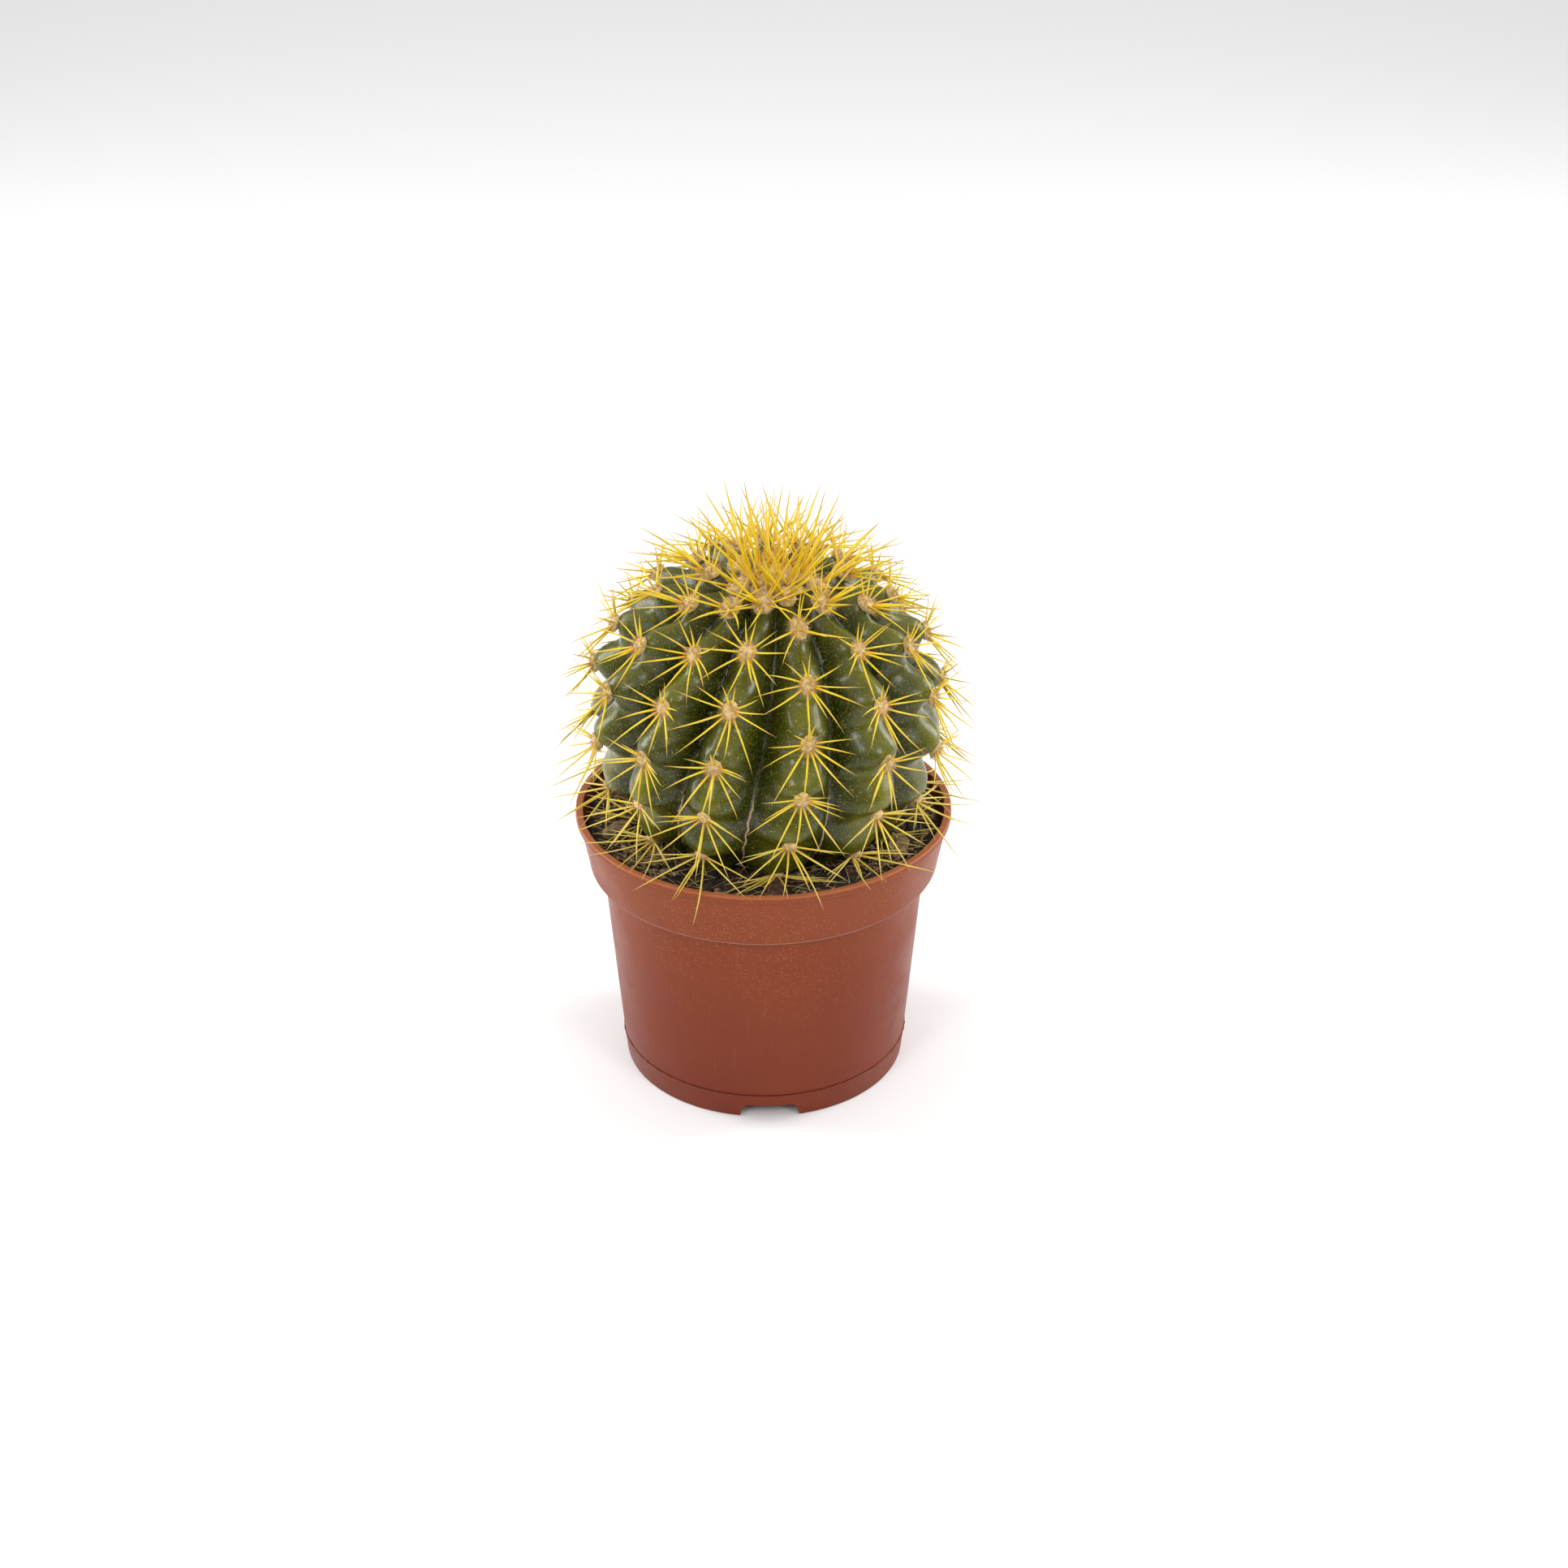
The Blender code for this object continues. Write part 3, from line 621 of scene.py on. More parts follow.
def foot_profile():
    """The outline under the floor, round the foot ring and up past the ragged parting line."""
    ring_inner = FOOT_RADIUS - FOOT_RING_WIDTH
    seam, seam_radius = PARTING_LEVEL, body_radius(PARTING_LEVEL)
    points = [(0, FLOOR_RAISE), (0.5 * ring_inner, FLOOR_RAISE)]
    points += [(ring_inner - 0.6 * MM, FLOOR_RAISE), (ring_inner, FLOOR_RAISE - 0.6 * MM)]
    points += arc((ring_inner + 0.6 * MM, 0.6 * MM), 0.6 * MM, 180, 270)
    points += arc((FOOT_RADIUS - 0.7 * MM, 0.7 * MM), 0.7 * MM, 270, 355)
    points += [(body_radius(seam - 0.8 * MM) + 0.05 * MM, seam - 0.8 * MM)]
    for outwards, upwards in ((0.10, -0.3), (0.26, -0.02), (-0.22, 0.16), (-0.22, 0.34), (0.04, 0.6)):
        points.append((seam_radius + outwards * MM, seam + upwards * MM))
    return points


def collar_profile():
    """The outline from under the collar, over the lip and down to the top of the inner wall."""
    lip_foot = POT_HEIGHT - LIP_HEIGHT
    points = []
    points += arc((BODY_TOP_RADIUS + 0.5 * MM, COLLAR_FOOT - 0.5 * MM), 0.5 * MM, 180, 90)
    points += arc((COLLAR_FOOT_RADIUS - 1.6 * MM, COLLAR_FOOT + 1.6 * MM), 1.6 * MM, 270, 352, 6)
    neck = RIM_RADIUS - LIP_STAND
    for share in (0.2, 0.45, 0.7, 0.95):
        height = COLLAR_FOOT + 2 * MM + (lip_foot - 3.2 * MM - COLLAR_FOOT) * share
        points.append((COLLAR_FOOT_RADIUS + (neck - COLLAR_FOOT_RADIUS) * share, height))
    points += [(neck + 0.15 * MM, lip_foot - 0.5 * MM), (RIM_RADIUS - 0.45 * MM, lip_foot - 0.1 * MM)]
    points += arc((RIM_RADIUS - 0.6 * MM, lip_foot + 0.5 * MM), 0.6 * MM, -60, 0)
    points += arc((RIM_RADIUS - 0.45 * MM, POT_HEIGHT - 0.45 * MM), 0.45 * MM, 0, 90)
    points.append((RIM_RADIUS - 1.1 * MM, POT_HEIGHT - 0.12 * MM))
    points.append((neck - WALL + 0.7 * MM, POT_HEIGHT - 0.1 * MM))
    points += arc((neck - WALL + 0.6 * MM, POT_HEIGHT - 0.7 * MM), 0.6 * MM, 90, 180)
    inner = (lip_foot, lip_foot - 5 * MM, lip_foot - 11 * MM, COLLAR_FOOT + 2 * WALL, COLLAR_FOOT)
    return points + [(wall_radius(height), height) for height in inner]


def pot_profile():
    """The pot's whole outline, from the axis under the floor to the axis above it."""
    floor_top = FLOOR_RAISE + WALL
    points = foot_profile()
    points += [(body_radius(height * MM), height * MM) for height in (14, 22, 30, 38, 46, 54, 62, 67)]
    points += collar_profile()
    points += [(wall_radius(height), height) for height in (0.5 * COLLAR_FOOT, floor_top + MM)]
    points += [(wall_radius(floor_top) - MM, floor_top), (0, floor_top)]
    return points


def notch_knife(index):
    """A wedge across the foot ring with rounded upper corners."""
    bm = bmesh.new()
    bmesh.ops.create_cube(bm, size=1)
    for vert in bm.verts:
        top = vert.co.z > 0
        width = NOTCH_TOP_WIDTH if top else 2 * NOTCH_FOOT_WIDTH - NOTCH_TOP_WIDTH
        height = NOTCH_HEIGHT if top else -NOTCH_HEIGHT
        vert.co = (vert.co.x * width, vert.co.y * 6 * FOOT_RING_WIDTH - FOOT_RADIUS, height)
    corners = []
    for edge in bm.edges:
        first, second = edge.verts
        if min(first.co.z, second.co.z) > 0 and abs(first.co.x - second.co.x) < 1e-6:
            corners.append(edge)
    bmesh.ops.bevel(bm, geom=corners, offset=1.6 * MM, affect="EDGES", segments=5, profile=0.5, material=-1)
    turn = Matrix.Rotation(NOTCH_TURN + math.tau * index / NOTCHES, 3, "Z")
    bmesh.ops.rotate(bm, verts=bm.verts[:], cent=(0, 0, 0), matrix=turn)
    outward(bm)
    return bm


def drain_knife(index):
    bm = bmesh.new()
    turn = Matrix.Rotation(math.tau * (index + 0.5) / DRAIN_HOLES, 4, "Z")
    place = turn @ Matrix.Translation((0, DRAIN_CIRCLE, FLOOR_RAISE + WALL / 2))
    size = {"segments": 32, "radius1": DRAIN_RADIUS, "radius2": DRAIN_RADIUS, "depth": 6 * WALL}
    bmesh.ops.create_cone(bm, cap_ends=True, matrix=place, **size)
    return bm


def make_pot():
    """The moulding, with its parting line made ragged and its rim a little out of true."""
    knives = [notch_knife(index) for index in range(NOTCHES)]
    knives += [drain_knife(index) for index in range(DRAIN_HOLES)]
    bm = cut(turned(pot_profile(), POT_STEPS), knives)
    seam = PARTING_LEVEL
    for vert in bm.verts:
        reach = math.hypot(vert.co.x, vert.co.y)
        around = Vector((vert.co.x, vert.co.y, 0)) / max(reach, 1e-6)
        if abs(vert.co.z - seam) < 0.2 * MM and reach > body_radius(seam):
            ragged = noise.noise(around * 40) + 0.7 * noise.noise(around * 130)
            vert.co += around * 0.22 * MM * ragged + Vector((0, 0, 0.10 * MM * noise.noise(around * 55)))
        if vert.co.z > POT_HEIGHT - 1.2 * MM and reach > RIM_RADIUS - 2.2 * MM:
            wave = 0.10 * MM * noise.noise(around * 6) + 0.05 * MM * noise.noise(around * 45)
            vert.co += around * (wave - 0.08 * MM) + Vector((0, 0, wave - 0.10 * MM))
    add("pot_shell", bm, "pot_plastic", "plastic", sharp=38, stands_for=["pot"])


# ---------------------------------------------------------------- stem


def step_at(rib, angle):
    """How many areoles of a rib lie between its first one and an angle from the crown."""
    _, first, step = RIBS[rib]
    return (math.degrees(angle) - first) / step


def tubercle(rib, angle):
    """The swelling along a rib's crest, from -1 in the dip below each areole to 1 just above the next."""
    place = (step_at(rib, angle) + PEAK_ABOVE_AREOLE) % 1
    fall = PEAK_ABOVE_AREOLE + DIP_BELOW_AREOLE
    phase = place / fall / 2 if place < fall else 0.5 + (place - fall) / (1 - fall) / 2
    return math.cos(math.tau * phase)


def crest_line(angle):
    """(radius, height) and the outward slope of the stem's envelope, at an angle from the crown."""
    tall = STEM_RISE if angle < math.pi / 2 else STEM_DROP
    radius, height = STEM_RADIUS * math.sin(angle), tall * math.cos(angle)
    away = Vector((radius / STEM_RADIUS**2, height / tall**2)).normalized()
    if angle < math.pi / 2:
        height -= CROWN_DIMPLE * math.exp(-((radius / CROWN_DIMPLE_RADIUS) ** 2))
    return Vector((radius, height)), away


def skin_point(rib, across, angle):
    """A point of the skin in the stem's own frame. across runs from -1 to 1 between the rib's two furrows."""
    directions = [entry[0] for entry in RIBS]
    here = directions[rib]
    before = directions[rib - 1] - (360 if rib == 0 else 0)
    after = directions[(rib + 1) % len(RIBS)] + (360 if rib == len(RIBS) - 1 else 0)
    half = (after - here) / 2 if across > 0 else (here - before) / 2
    point, away = crest_line(angle)
    azimuth = math.radians(here + across * half) + TWIST * point.y
    slenderness = max(point.x, 0) / STEM_RADIUS
    fade = clamped((angle - FURROW_FADE[0]) / (FURROW_FADE[1] - FURROW_FADE[0]))
    change = clamped((angle - SHAPE_CHANGE[0]) / (SHAPE_CHANGE[1] - SHAPE_CHANGE[0]))
    shape = YOUNG_SHAPE + (FURROW_SHAPE - YOUNG_SHAPE) * change
    furrow = FURROW_DEPTH * (1 - (1 - FURROW_LEFT) * fade) * slenderness * abs(across) ** shape
    swell = TUBERCLE * tubercle(rib, angle) * (1 - across**2) * slenderness**0.7
    point = point + away * (swell - furrow)
    radius = max(point.x, 0)
    return Vector((radius * math.sin(azimuth), -radius * math.cos(azimuth), point.y))


def fine_relief(rib, across, angle):
    """Small unevenness of the skin: low lumps, pleats near the base and a dent round each areole."""
    spot = Vector((across * 2 + 5 * rib, math.degrees(angle) / 9, 0))
    lumps = 0.6 * MM * noise.noise(spot)
    base = clamped((math.degrees(angle) - 88) / 25)
    pleats = 1.0 * MM * base * noise.noise(Vector((across * 1.2 + 9 * rib, math.degrees(angle) / 3.4, 3)))
    near = abs((step_at(rib, angle) + 0.5) % 1 - 0.5) * 18 * MM
    dent = 0.5 * MM * math.exp(-((near / (2.2 * MM)) ** 2) - (across * 5.5) ** 2)
    return (lumps + pleats) * (1 - 0.6 * abs(across)) - dent


def make_stem():
    """The ribbed skin. Each vertex keeps how near it is to the crest, and to the furrow on its side."""
    columns = COLUMNS_PER_RIB * len(RIBS)
    bm = bmesh.new()
    bmesh.ops.create_uvsphere(bm, u_segments=columns, v_segments=STEM_ROWS, radius=1)
    crest = bm.verts.layers.float.new("crest")
    from_furrow = bm.verts.layers.float.new("from_furrow")
    for vert in bm.verts:
        angle = math.acos(max(-1.0, min(1.0, vert.co.z)))
        column = round(math.atan2(vert.co.y, vert.co.x) / math.tau * columns) % columns
        rib, place = divmod(column, COLUMNS_PER_RIB)
        across = place / (COLUMNS_PER_RIB / 2)
        if across > 1:
            rib, across = (rib + 1) % len(RIBS), across - 2
        point = skin_point(rib, across, angle)
        flat = point.xy.normalized() if point.xy.length > 1e-7 else Vector((0, 0))
        away = Vector((flat.x * math.sin(angle), flat.y * math.sin(angle), math.cos(angle)))
        vert[crest] = 1 - abs(across)
        vert[from_furrow] = math.copysign(1 - abs(across), across)
        relief = fine_relief(rib, across, angle) * min(1.0, math.sin(angle) * 4)
        vert.co = STEM_PLACE @ (point + away * relief)
    add("stem", bm, "stem_skin", "skin", stands_for=["cactus_stem"])


# ---------------------------------------------------------------- spines and felt


def shaft_mesh(name, sides, cuts, index):
    """A straight unit shaft along Z to copy: a cone with rings cut round it, closed at its foot."""
    bm = bmesh.new()
    middle = Matrix.Translation((0, 0, 0.5))
    bmesh.ops.create_cone(bm, cap_ends=True, segments=sides, radius1=1, radius2=0.02, depth=1, matrix=middle)
    for level in cuts:
        geometry = bm.verts[:] + bm.edges[:] + bm.faces[:]
        bmesh.ops.bisect_plane(bm, geom=geometry, plane_co=(0, 0, level), plane_no=(0, 0, 1))
    for face in bm.faces:
        face.material_index = index
    mesh = bpy.data.meshes.new(name)
    bm.to_mesh(mesh)
    bm.free()
    return mesh


SPINE_SHAFT = shaft_mesh("spine_shaft", 6, (0.10, 0.28, 0.48, 0.68, 0.86, 0.96), 1)
WISP_SHAFT = shaft_mesh("wisp_shaft", 3, (0.5,), 0)
FIBRE_SHAFT = shaft_mesh("fibre_shaft", 4, (0.12, 0.25, 0.38, 0.5, 0.62, 0.75, 0.88), 0)


def taper(share):
    """A spine's thickness along its length: full at first, then drawn to a point."""
    return max(0.03, (1 - share**2.2) ** 0.9) * (1 + 0.2 * math.exp(-share * 22))


def thinned(share):
    """A straw's thickness along its length."""
    return 1 - 0.6 * share


def wisp_taper(share):
    return 1 - 0.9 * share


def shaft(bm, pattern, foot, direction, length, radius, bend, thickness, along=None, age=None):
    """Adds a copy of a unit shaft, stretched along a bent line. A spine also keeps its places and its age."""
    start = len(bm.verts)
    bm.from_mesh(pattern)
    bm.verts.ensure_lookup_table()
    side = direction.orthogonal().normalized()
    other = direction.cross(side)
    for vert in bm.verts[start:]:
        share = vert.co.z
        turn = math.atan2(vert.co.y, vert.co.x)
        wide = radius * thickness(share)
        line = foot + direction * (length * share) + bend * (length * share * share)
        vert.co = line + side * (wide * math.cos(turn)) + other * (wide * math.sin(turn))
        if along is not None:
            vert[along], vert[age[0]] = share, age[1]


def areole_place(rib, angle):
    """An areole's own frame: over the crest, Z away from the stem and Y up the rib."""
    point = skin_point(rib, 0, angle)
    above, below = skin_point(rib, 0, max(0.001, angle - 0.05)), skin_point(rib, 0, angle + 0.05)
    up = (above - below).normalized()
    _, away = crest_line(angle)
    azimuth = math.atan2(point.x, -point.y)
    out = Vector((away.x * math.sin(azimuth), -away.x * math.cos(azimuth), away.y)).normalized()
    local = up.cross(out).normalized().cross(up)
    out = (out + local.normalized()).normalized()
    side = up.cross(out).normalized()
    own = Matrix((side, out.cross(side), out)).transposed().to_4x4()
    own.translation = point
    return STEM_PLACE @ own


def felt_pad(bm, place, rng, size, wisps):
    """A lumpy felt dome with short hairs standing off it."""
    start = len(bm.verts)
    bmesh.ops.create_icosphere(bm, subdivisions=2, radius=1)
    bm.verts.ensure_lookup_table()
    offset = Vector((rng.uniform(0, 50), 0, 0))
    for vert in bm.verts[start:]:
        lump = 1 + 0.22 * noise.noise(vert.co * 2.2 + offset)
        vert.co = place @ (vert.co * size * lump)
    turn = place.to_3x3()
    for _ in range(wisps):
        around, height = rng.uniform(0, math.tau), rng.uniform(0.0, 1.0)
        flat = math.sqrt(1 - height * height)
        way = Vector((flat * math.cos(around), flat * math.sin(around), height))
        foot = place @ (way * size * 0.9)
        lean = Vector((rng.uniform(-0.7, 0.7), rng.uniform(-0.9, 0.5), rng.uniform(-0.2, 0.5)))
        direction = (turn @ (way + lean)).normalized()
        bend = turn @ Vector((rng.uniform(-0.4, 0.4), rng.uniform(-0.5, 0.3), 0))
        shaft(bm, WISP_SHAFT, foot, direction, rng.uniform(0.8, 2.1) * MM, WISP_RADIUS, bend, wisp_taper)


def within_reach(foot, direction, length):
    """A length that keeps the tip in the solids' box and a little over."""
    for axis in range(3):
        if abs(direction[axis]) > 1e-6:
            edge = BOX_HIGH[axis] + REACH_OVER if direction[axis] > 0 else BOX_LOW[axis] - REACH_OVER
            room = (edge - foot[axis]) / direction[axis]
            if length > room:
                length = room * (0.93 + 0.07 * math.sin(9000 * foot.y + 7000 * direction.x) ** 2)
    return length


def over_the_rim(foot, direction, length):
    """A direction lifted until the spine passes over the pot's rim and stays above the soil."""
    for _ in range(60):
        clear = True
        for share in (0.3, 0.45, 0.6, 0.75, 0.9, 1.0):
            point = foot + direction * (length * share)
            reach = math.hypot(point.x, point.y)
            over_rim = abs(reach - RIM_RADIUS) < RIM_CLEARANCE
            floor = POT_HEIGHT + 0.8 * MM if over_rim else SOIL_LEVEL + 1.2 * MM
            if reach < RIM_RADIUS + RIM_CLEARANCE and point.z < floor:
                clear = False
        if clear:
            break
        direction = (direction + Vector((0, 0, 0.05))).normalized()
    return direction


def spine_plan(rng, angle):
    """(around, rise, length, thickness) of each spine of an areole, in degrees and metres."""
    young = max(0.0, 1 - angle / YOUNG_BELOW)
    low = clamped((angle - 85) / 30)
    flip = rng.random() < 0.5
    plan = []
    for around, length in RADIALS:
        if angle < 16 and rng.random() < 0.5 or angle < 30 and rng.random() < 0.15:
            continue
        if low > 0.5 and 45 < around < 140:
            continue
        around += rng.uniform(-10, 10)
        length = length * rng.uniform(0.80, 1.14) + 8 * young + 3.5 * low
        length += 3 * low * math.sin(math.radians(-around)) if around < 0 else 0
        rise = 27 + rng.uniform(-8, 12) + 28 * young
        thick = rng.uniform(0.85, 1.1) + (0.15 if around < -30 else 0)
        plan.append((180 - around if flip else around, rise, length * MM, thick))
    for _ in range(2 if young > 0.2 else 1):
        length = 15 + rng.uniform(-1.5, 3) + 13 * young + 2 * low
        rise = 52 + rng.uniform(-10, 12) + 20 * young
        plan.append((-90 + rng.uniform(-28, 28) * (1 + 3 * young), rise, length * MM, 1.15 + 0.8 * young))
    return plan


def fanned_out(place, local, around, share):
    """A local direction turned by a share from 0 to 1 into the level fan of the lowest areoles."""
    direction = place.to_3x3() @ local
    level = Vector((place.translation.x, place.translation.y, 0)).normalized()
    beside = Vector((-level.y, level.x, 0))
    spread = 0.8 * max(-95, min(95, (around + 270) % 360 - 180))
    turn = math.radians(spread)
    drop = 0.45 * math.cos(turn)
    fan = (level * math.cos(turn) + beside * math.sin(turn) - Vector((0, 0, drop))).normalized()
    return direction.lerp(fan, share).normalized()


def spines_at(bm, layers, rib, angle_degrees, rng, size=1.0, wisps=PAD_WISPS):
    """One areole: its felt pad and its spines."""
    place = areole_place(rib, math.radians(angle_degrees))
    felt_pad(bm, place @ Matrix.Translation((0, 0, 0.4 * MM)), rng, PAD * size, wisps)
    turn = place.to_3x3()
    old = clamped((angle_degrees - 70) / 60)
    fan_share = clamped((angle_degrees - 72) / 35)
    for around, rise, length, thick in spine_plan(rng, angle_degrees):
        bearing, lift = math.radians(around), math.radians(rise)
        flat = math.cos(lift)
        local = Vector((math.cos(bearing) * flat, math.sin(bearing) * flat, math.sin(lift)))
        foot = place @ Vector((local.x * PAD.x * 0.45 * size, local.y * PAD.y * 0.45 * size, 0.7 * MM))
        direction = over_the_rim(foot, fanned_out(place, local, around, fan_share), length)
        length = within_reach(foot, direction, length)
        bend = turn @ Vector((rng.uniform(-0.13, 0.13), rng.uniform(-0.13, 0.10), rng.uniform(-0.10, 0.07)))
        bend -= direction * bend.dot(direction)
        tint = clamped(old + rng.uniform(-0.2, 0.2))
        radius = SPINE_RADIUS * thick * (1 + 0.15 * (size - 1))
        shaft(bm, SPINE_SHAFT, foot, direction, length, radius, bend, taper, layers[0], (layers[1], tint))


def new_cluster():
    """An empty bmesh with the two layers that the spines' finish reads."""
    bm = bmesh.new()
    along = bm.verts.layers.float.new("along")
    age = bm.verts.layers.float.new("age")
    return bm, (along, age)


def make_areoles():
    """The areoles that have solids as a piece each, and each rib's low ones as one piece."""
    for rib in range(len(RIBS)):
        _, first, step = RIBS[rib]
        for row in range(SOLID_ROWS):
            rng = random.Random(SEED + 100 * rib + row)
            bm, layers = new_cluster()
            angle = first + step * row
            size = 1.0 + 0.55 * max(0.0, 1 - angle / YOUNG_BELOW)
            spines_at(bm, layers, rib, angle, rng, size, int(PAD_WISPS * size**2))
            name = f"spines_rib_{rib + 1:02d}_row_{row + 1}"
            add(f"areole_{rib + 1:02d}_{row + 1}", bm, "spine", "felt", "spine", stands_for=[name])
        bm, layers = new_cluster()
        rng = random.Random(SEED + 100 * rib + 50)
        for row in range(SOLID_ROWS, SOLID_ROWS + LOW_ROWS):
            spines_at(bm, layers, rib, first + step * row, rng, 0.85, LOW_PAD_WISPS)
        add(f"areoles_low_{rib + 1:02d}", bm, "spine", "felt", "spine")


def make_crown():
    """The woolly crown: each rib's youngest areole round the growing point, and long upright spines."""
    bm, layers = new_cluster()
    rng = random.Random(SEED + 9000)
    place = STEM_PLACE.to_3x3().to_4x4()
    place.translation = STEM_PLACE @ Vector((0, 0, STEM_RISE - CROWN_DIMPLE + 0.6 * MM))
    felt_pad(bm, place, rng, CROWN_FELT, CROWN_FELT_WISPS)
    for rib, (_, first, step) in enumerate(RIBS):
        angle = max(7.5, first - 0.85 * step)
        spines_at(bm, layers, rib, angle, rng, 1.3, CROWN_PAD_WISPS)
    for index in range(CROWN_SPINES):
        around = index * GOLDEN_ANGLE
        spread = math.sqrt((index + 0.5) / CROWN_SPINES)
        way = Vector((math.cos(around), math.sin(around), 0))
        base = way * (7.0 * MM * spread)
        lean = way * (0.75 * spread + rng.uniform(-0.12, 0.12))
        foot = place @ (base + Vector((0, 0, 1.6 * MM)))
        direction = (STEM_PLACE.to_3x3() @ (lean + Vector((0, 0, 1)))).normalized()
        length = within_reach(foot, direction, rng.uniform(17, 30) * MM)
        bend = Vector((rng.uniform(-0.1, 0.1), rng.uniform(-0.1, 0.1), 0))
        bend -= direction * bend.dot(direction)
        radius = SPINE_RADIUS * rng.uniform(1.1, 1.6)
        shaft(bm, SPINE_SHAFT, foot, direction, length, radius, bend, taper, layers[0], (layers[1], 0.0))
    add("crown", bm, "spine", "felt", "spine", stands_for=["crown_tuft"])


# ---------------------------------------------------------------- soil


def soil_height(x, y):
    """The soil's surface: lumps of three sizes, lower against the wall."""
    reach = math.hypot(x, y)
    spot = Vector((x, y, 0))
    lumps = sum(height * noise.noise(spot / spacing) for height, spacing in SOIL_LUMPS)
    edge = clamped((wall_radius(SOIL_LEVEL) - reach) / (4 * MM))
    return SOIL_LEVEL + (lumps * (0.35 + 0.65 * edge) - 0.6 * (1 - edge)) * MM


def make_soil():
    """The filling of the pot, fine where it shows, with a lumpy surface."""
    edge = wall_radius(SOIL_LEVEL) - SOIL_INSET
    body_top = wall_radius(COLLAR_FOOT) - SOIL_INSET
    profile = [(0, SOIL_BOTTOM), (wall_radius(SOIL_BOTTOM) - SOIL_INSET - 0.3 * MM, SOIL_BOTTOM)]
    profile += [(wall_radius(0.4 * COLLAR_FOOT) - SOIL_INSET, 0.4 * COLLAR_FOOT)]
    profile += [(body_top, COLLAR_FOOT - 0.3 * MM), (body_top, COLLAR_FOOT + 2 * WALL)]
    profile += [(wall_radius(COLLAR_FOOT + 3 * WALL) - 1.5 * SOIL_INSET, COLLAR_FOOT + 3.4 * WALL)]
    for ring in range(SOIL_RINGS + 1):
        profile.append((edge + (SOIL_FLAT_RADIUS - edge) * ring / SOIL_RINGS, SOIL_LEVEL))
    profile += [(share * SOIL_FLAT_RADIUS, SOIL_LEVEL) for share in (0.7, 0.3, 0)]
    bm = turned(profile, SOIL_STEPS)
    for vert in bm.verts:
        if vert.co.z > SOIL_LEVEL - 0.01 * MM:
            vert.co.z = soil_height(vert.co.x, vert.co.y)
    add("soil_bed", bm, "peat", "peat", stands_for=["soil"])


def on_soil(rng, inner=0.034, outer=0.0555, clumps=False):
    """A place on the soil, in one of the clumps for three of every four when clumps is set."""
    around = rng.uniform(0, math.tau)
    if clumps and rng.random() < 0.75:
        around = rng.choice(CLUMPS) + rng.gauss(0, 0.17)
    reach = math.sqrt(rng.uniform(inner**2, outer**2))
    x, y = reach * math.cos(around), reach * math.sin(around)
    return Vector((x, y, soil_height(x, y)))


def crumb(bm, rng, centre, size):
    """One uneven crumb."""
    start = len(bm.verts)
    bmesh.ops.create_icosphere(bm, subdivisions=1 if size < 1.3 * MM else 2, radius=1)
    bm.verts.ensure_lookup_table()
    shape = Vector((rng.uniform(0.7, 1.3), rng.uniform(0.7, 1.3), rng.uniform(0.5, 0.9)))
    offset = Vector((rng.uniform(0, 90), 0, 0))
    for vert in bm.verts[start:]:
        lump = size * (1 + 0.5 * noise.noise(vert.co * 1.6 + offset))
        vert.co = centre + Vector((vert.co.x * shape.x, vert.co.y * shape.y, vert.co.z * shape.z)) * lump


def make_crumbs():
    """Loose bits on the soil: a name, a finish, how many, the smallest and largest in mm, and a seed."""
    for name, finish, count, low, high, seed in (
        ("peat_crumbs", "peat", 520, 0.5, 2.0, 11),
        ("tan_crumbs", "crumb", 420, 0.35, 1.25, 12),
        ("bark_flecks", "bark", 60, 0.5, 1.7, 13),
    ):
        rng = random.Random(SEED + seed)
        bm = bmesh.new()
        for _ in range(count):
            size = rng.uniform(low, high) * MM
            spot = on_soil(rng, outer=0.0553 - size, clumps=finish == "crumb")
            heap = 2.2 if finish == "crumb" else 0.35
            crumb(bm, rng, spot + Vector((0, 0, heap * size * rng.random())), size)
        add(name, bm, "bark" if finish == "bark" else "peat", finish, sharp=50)


def make_fibres():
    """Straw fibres lying over the soil, a few of them standing up past the rim at the back right."""
    rng = random.Random(SEED + 21)
    bm = bmesh.new()
    for index in range(STRAWS):
        foot = on_soil(rng, 0.036, 0.0545, clumps=index % 3 == 0) + Vector((0, 0, rng.uniform(0.3, 2.2) * MM))
        length = rng.uniform(4, 17) * MM
        around = rng.uniform(0, math.tau)
        rise = rng.uniform(-0.02, 0.30)
        direction = Vector((math.cos(around), math.sin(around), rise)).normalized()
        for _ in range(6):
            tip = foot + direction * length
            if math.hypot(tip.x, tip.y) < wall_radius(SOIL_LEVEL) - MM:
                break
            length *= 0.75
        bend = Vector((rng.uniform(-0.5, 0.5), rng.uniform(-0.5, 0.5), rng.uniform(-0.25, 0.05)))
        bend -= direction * bend.dot(direction)
        tip = foot + direction * length + bend * length
        if math.hypot(tip.x, tip.y) > wall_radius(SOIL_LEVEL) - MM:
            bend *= 0.1
        shaft(bm, FIBRE_SHAFT, foot, direction, length, rng.uniform(0.08, 0.20) * MM, bend, thinned)
    for _ in range(STANDING_STRAWS):
        around = math.radians(rng.uniform(10, 40))
        foot = Vector((math.cos(around), math.sin(around), 0)) * rng.uniform(0.050, 0.0555)
        foot.z = soil_height(foot.x, foot.y)
        direction = Vector((rng.uniform(-0.3, 0.5), rng.uniform(-0.4, 0.4), 1)).normalized()
        bend = Vector((rng.uniform(-0.3, 0.3), rng.uniform(-0.3, 0.3), 0))
        shaft(bm, FIBRE_SHAFT, foot, direction, rng.uniform(5, 10) * MM, 0.14 * MM, bend, thinned)
    add("straw_fibres", bm, "peat", "straw")


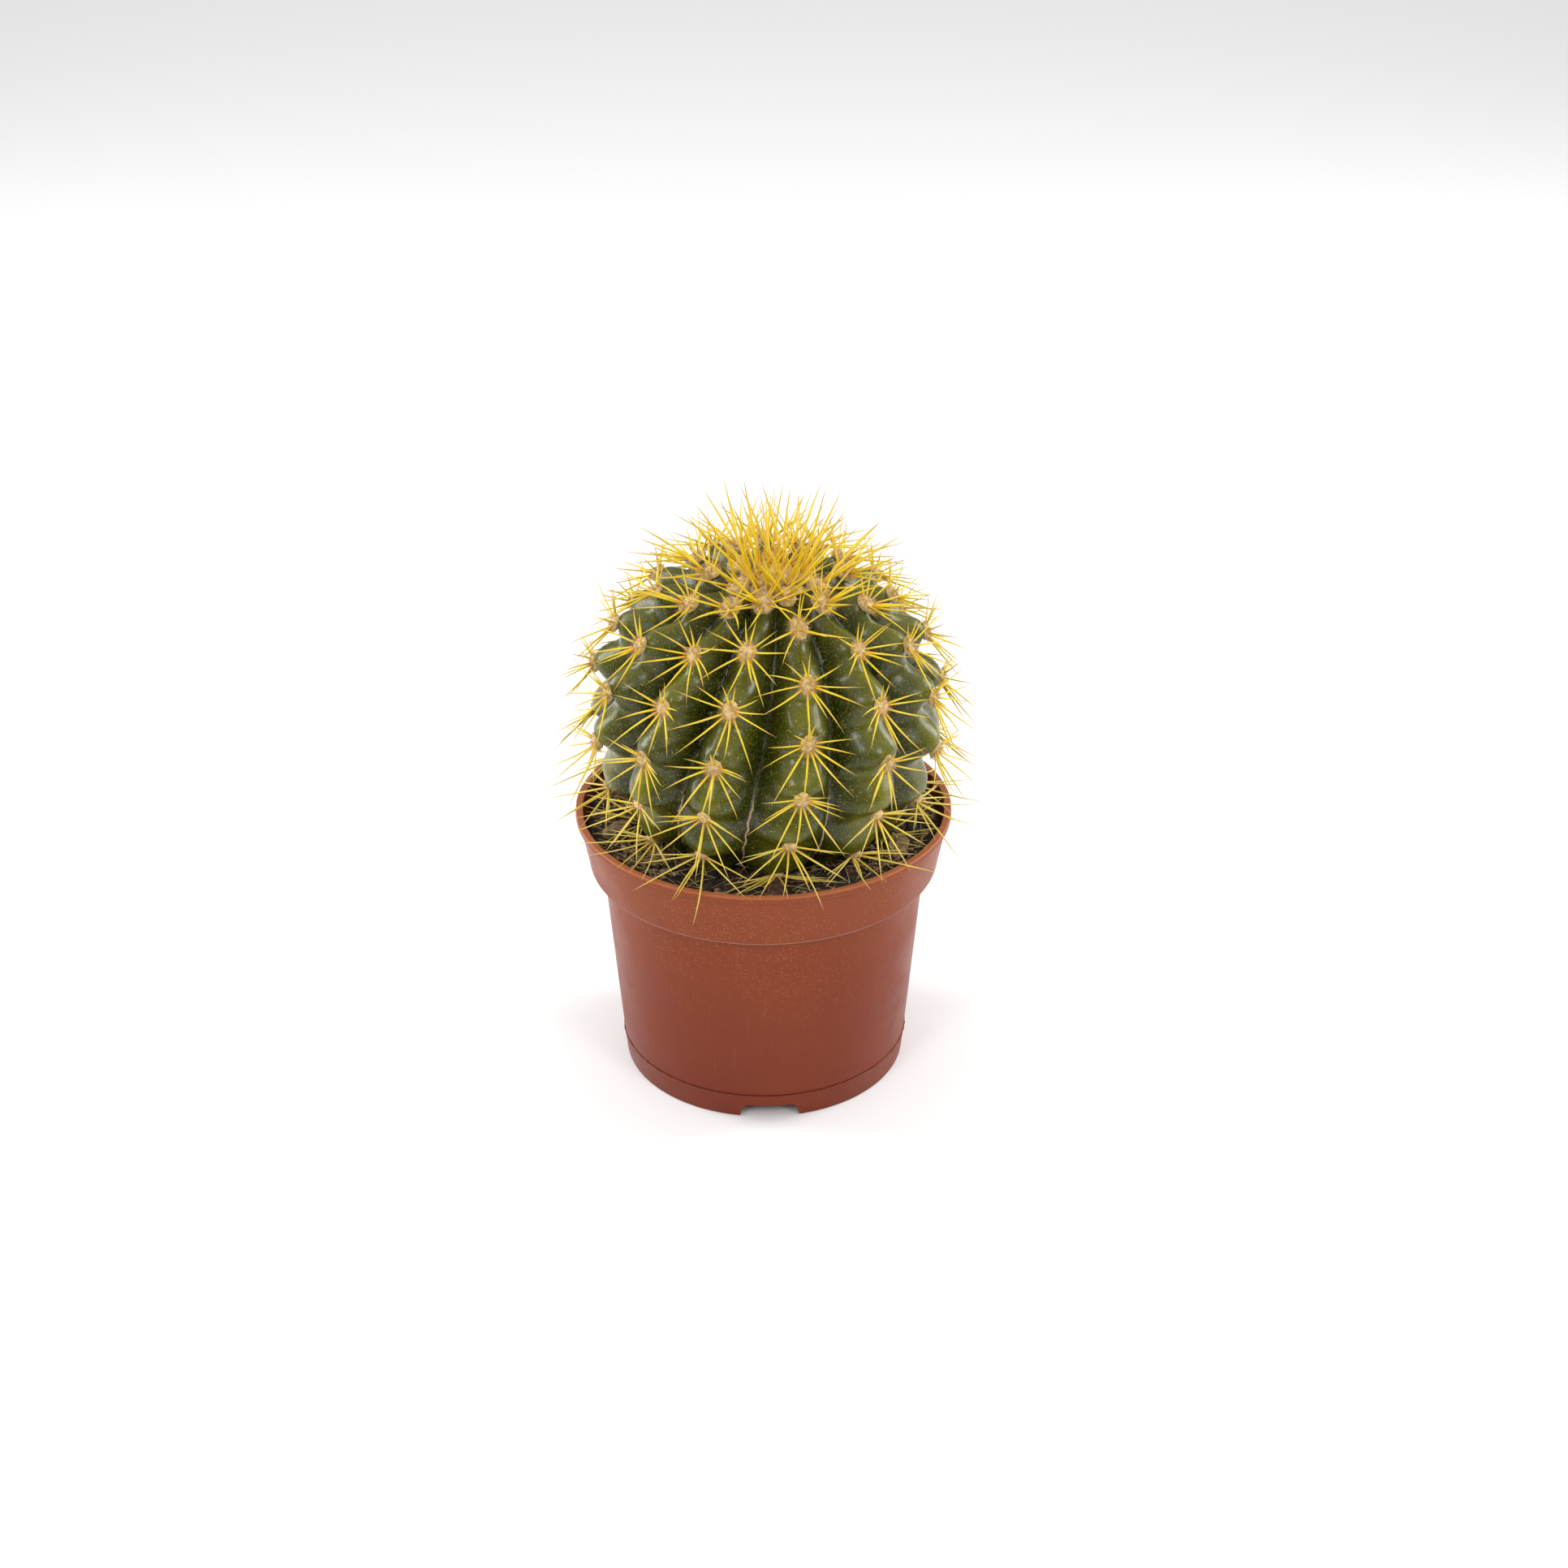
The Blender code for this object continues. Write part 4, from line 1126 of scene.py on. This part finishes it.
def make_chips():
    """Splintered bark in the place of each chip's solid."""
    for number in (1, 2, 3):
        low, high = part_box(f"bark_chip_{number}")
        centre, size = (low + high) / 2, (high - low) * 0.46
        rng = random.Random(SEED + 30 + number)
        bm = bmesh.new()
        bmesh.ops.create_cube(bm, size=2)
        bmesh.ops.subdivide_edges(bm, edges=bm.edges[:], cuts=9, use_grid_fill=True)
        turn = Matrix.Rotation(rng.uniform(0, 3), 3, "Z")
        offset = Vector((rng.uniform(0, 50), 0, 0))
        for vert in bm.verts:
            rounded = vert.co.normalized() * 1.25
            shape = vert.co.lerp(rounded, 0.55)
            splinter = 1 + 0.30 * noise.noise(Vector((shape.x * 0.8, shape.y * 5, shape.z * 5)) + offset)
            stretch = Vector((0.95, 0.62 * splinter, splinter))
            vert.co = centre + turn @ (shape * size * stretch)
        outward(bm)
        finish = "bark" if number == 1 else "crumb"
        add(f"bark_splinter_{number}", bm, "bark", finish, sharp=35, stands_for=[f"bark_chip_{number}"])


# ---------------------------------------------------------------- room, light and camera

PLANT_MIDDLE = Vector((0, 0, 0.11))
FLOOR_RADIUS = 9
# Each box of light: its name, place, width, height and power in watts.
SOFTBOXES = (
    ("left_box", (-0.90, 0.30, 0.50), 0.45, 0.8, 8),
    ("right_box", (0.90, 0.36, 0.50), 0.45, 0.8, 8),
    ("ceiling", (0, 0, 3.0), 12, 12, 340),
    ("front_left_box", (-0.55, -0.95, 0.85), 0.30, 0.40, 3.6),
    ("front_right_box", (0.60, -0.85, 0.80), 0.30, 0.40, 3.3),
)


def make_floor():
    """A plain pale floor, which is no piece of the plant."""
    bm = bmesh.new()
    bmesh.ops.create_circle(bm, cap_ends=True, segments=96, radius=FLOOR_RADIUS)
    mesh = bpy.data.meshes.new("floor")
    bm.to_mesh(mesh)
    bm.free()
    paint = bpy.data.materials.new("floor_paint")
    paint.use_nodes = True
    shader = paint.node_tree.nodes["Principled BSDF"]
    shader.inputs["Base Color"].default_value = (0.84, 0.84, 0.84, 1)
    shader.inputs["Roughness"].default_value = 0.9
    shader.inputs["Specular IOR Level"].default_value = 0.1
    mesh.materials.append(paint)
    floor = bpy.data.objects.new("floor", mesh)
    bpy.context.scene.collection.objects.link(floor)


def softbox(name, place, width, height, power):
    """A rectangle of light that faces the plant's middle."""
    light = bpy.data.lights.new(name, "AREA")
    light.shape, light.size, light.size_y, light.energy = "RECTANGLE", width, height, power
    obj = bpy.data.objects.new(name, light)
    bpy.context.scene.collection.objects.link(obj)
    obj.location = place
    obj.rotation_euler = (PLANT_MIDDLE - Vector(place)).to_track_quat("-Z", "Y").to_euler()


def make_light():
    """A white room: an even ceiling, a box at either side for bright edges, two small ones in front."""
    world = bpy.data.worlds.new("white_room")
    world.use_nodes = True
    backdrop = world.node_tree.nodes["Background"]
    backdrop.inputs["Color"].default_value = (1, 1, 1, 1)
    backdrop.inputs["Strength"].default_value = 0.25
    bpy.context.scene.world = world
    for name, place, width, height, power in SOFTBOXES:
        softbox(name, place, width, height, power)


CAMERA_DISTANCE = 0.9
CAMERA_TARGET = Vector((0, 0, 0.0452))
SIGHT_DROP = math.radians(31.45)  # of the line from the camera to the target
AXIS_DROP = math.radians(28.555)  # of the camera's own axis, which passes above the target
AXIS_YAW = math.radians(0.489)
LENS = 62.85


def make_camera():
    sight = Vector((0, math.cos(SIGHT_DROP), -math.sin(SIGHT_DROP)))
    level = math.cos(AXIS_DROP)
    axis = Vector((math.sin(AXIS_YAW) * level, math.cos(AXIS_YAW) * level, -math.sin(AXIS_DROP)))
    data = bpy.data.cameras.new("camera")
    data.lens, data.sensor_width, data.clip_start = LENS, 36, 0.01
    camera = bpy.data.objects.new("camera", data)
    bpy.context.scene.collection.objects.link(camera)
    camera.location = CAMERA_TARGET - sight * CAMERA_DISTANCE
    camera.rotation_euler = axis.to_track_quat("-Z", "Y").to_euler()
    bpy.context.scene.camera = camera


def finish_roots():
    """The roots keep their solid, which the soil hides, and take a finish of their own."""
    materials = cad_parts["roots"].data.materials
    materials.clear()
    materials.append(FINISHES["root"])


make_pot()
make_stem()
make_areoles()
make_crown()
make_soil()
make_crumbs()
make_fibres()
make_chips()
finish_roots()
make_floor()
make_light()
make_camera()
bpy.context.scene.view_settings.view_transform = "Standard"
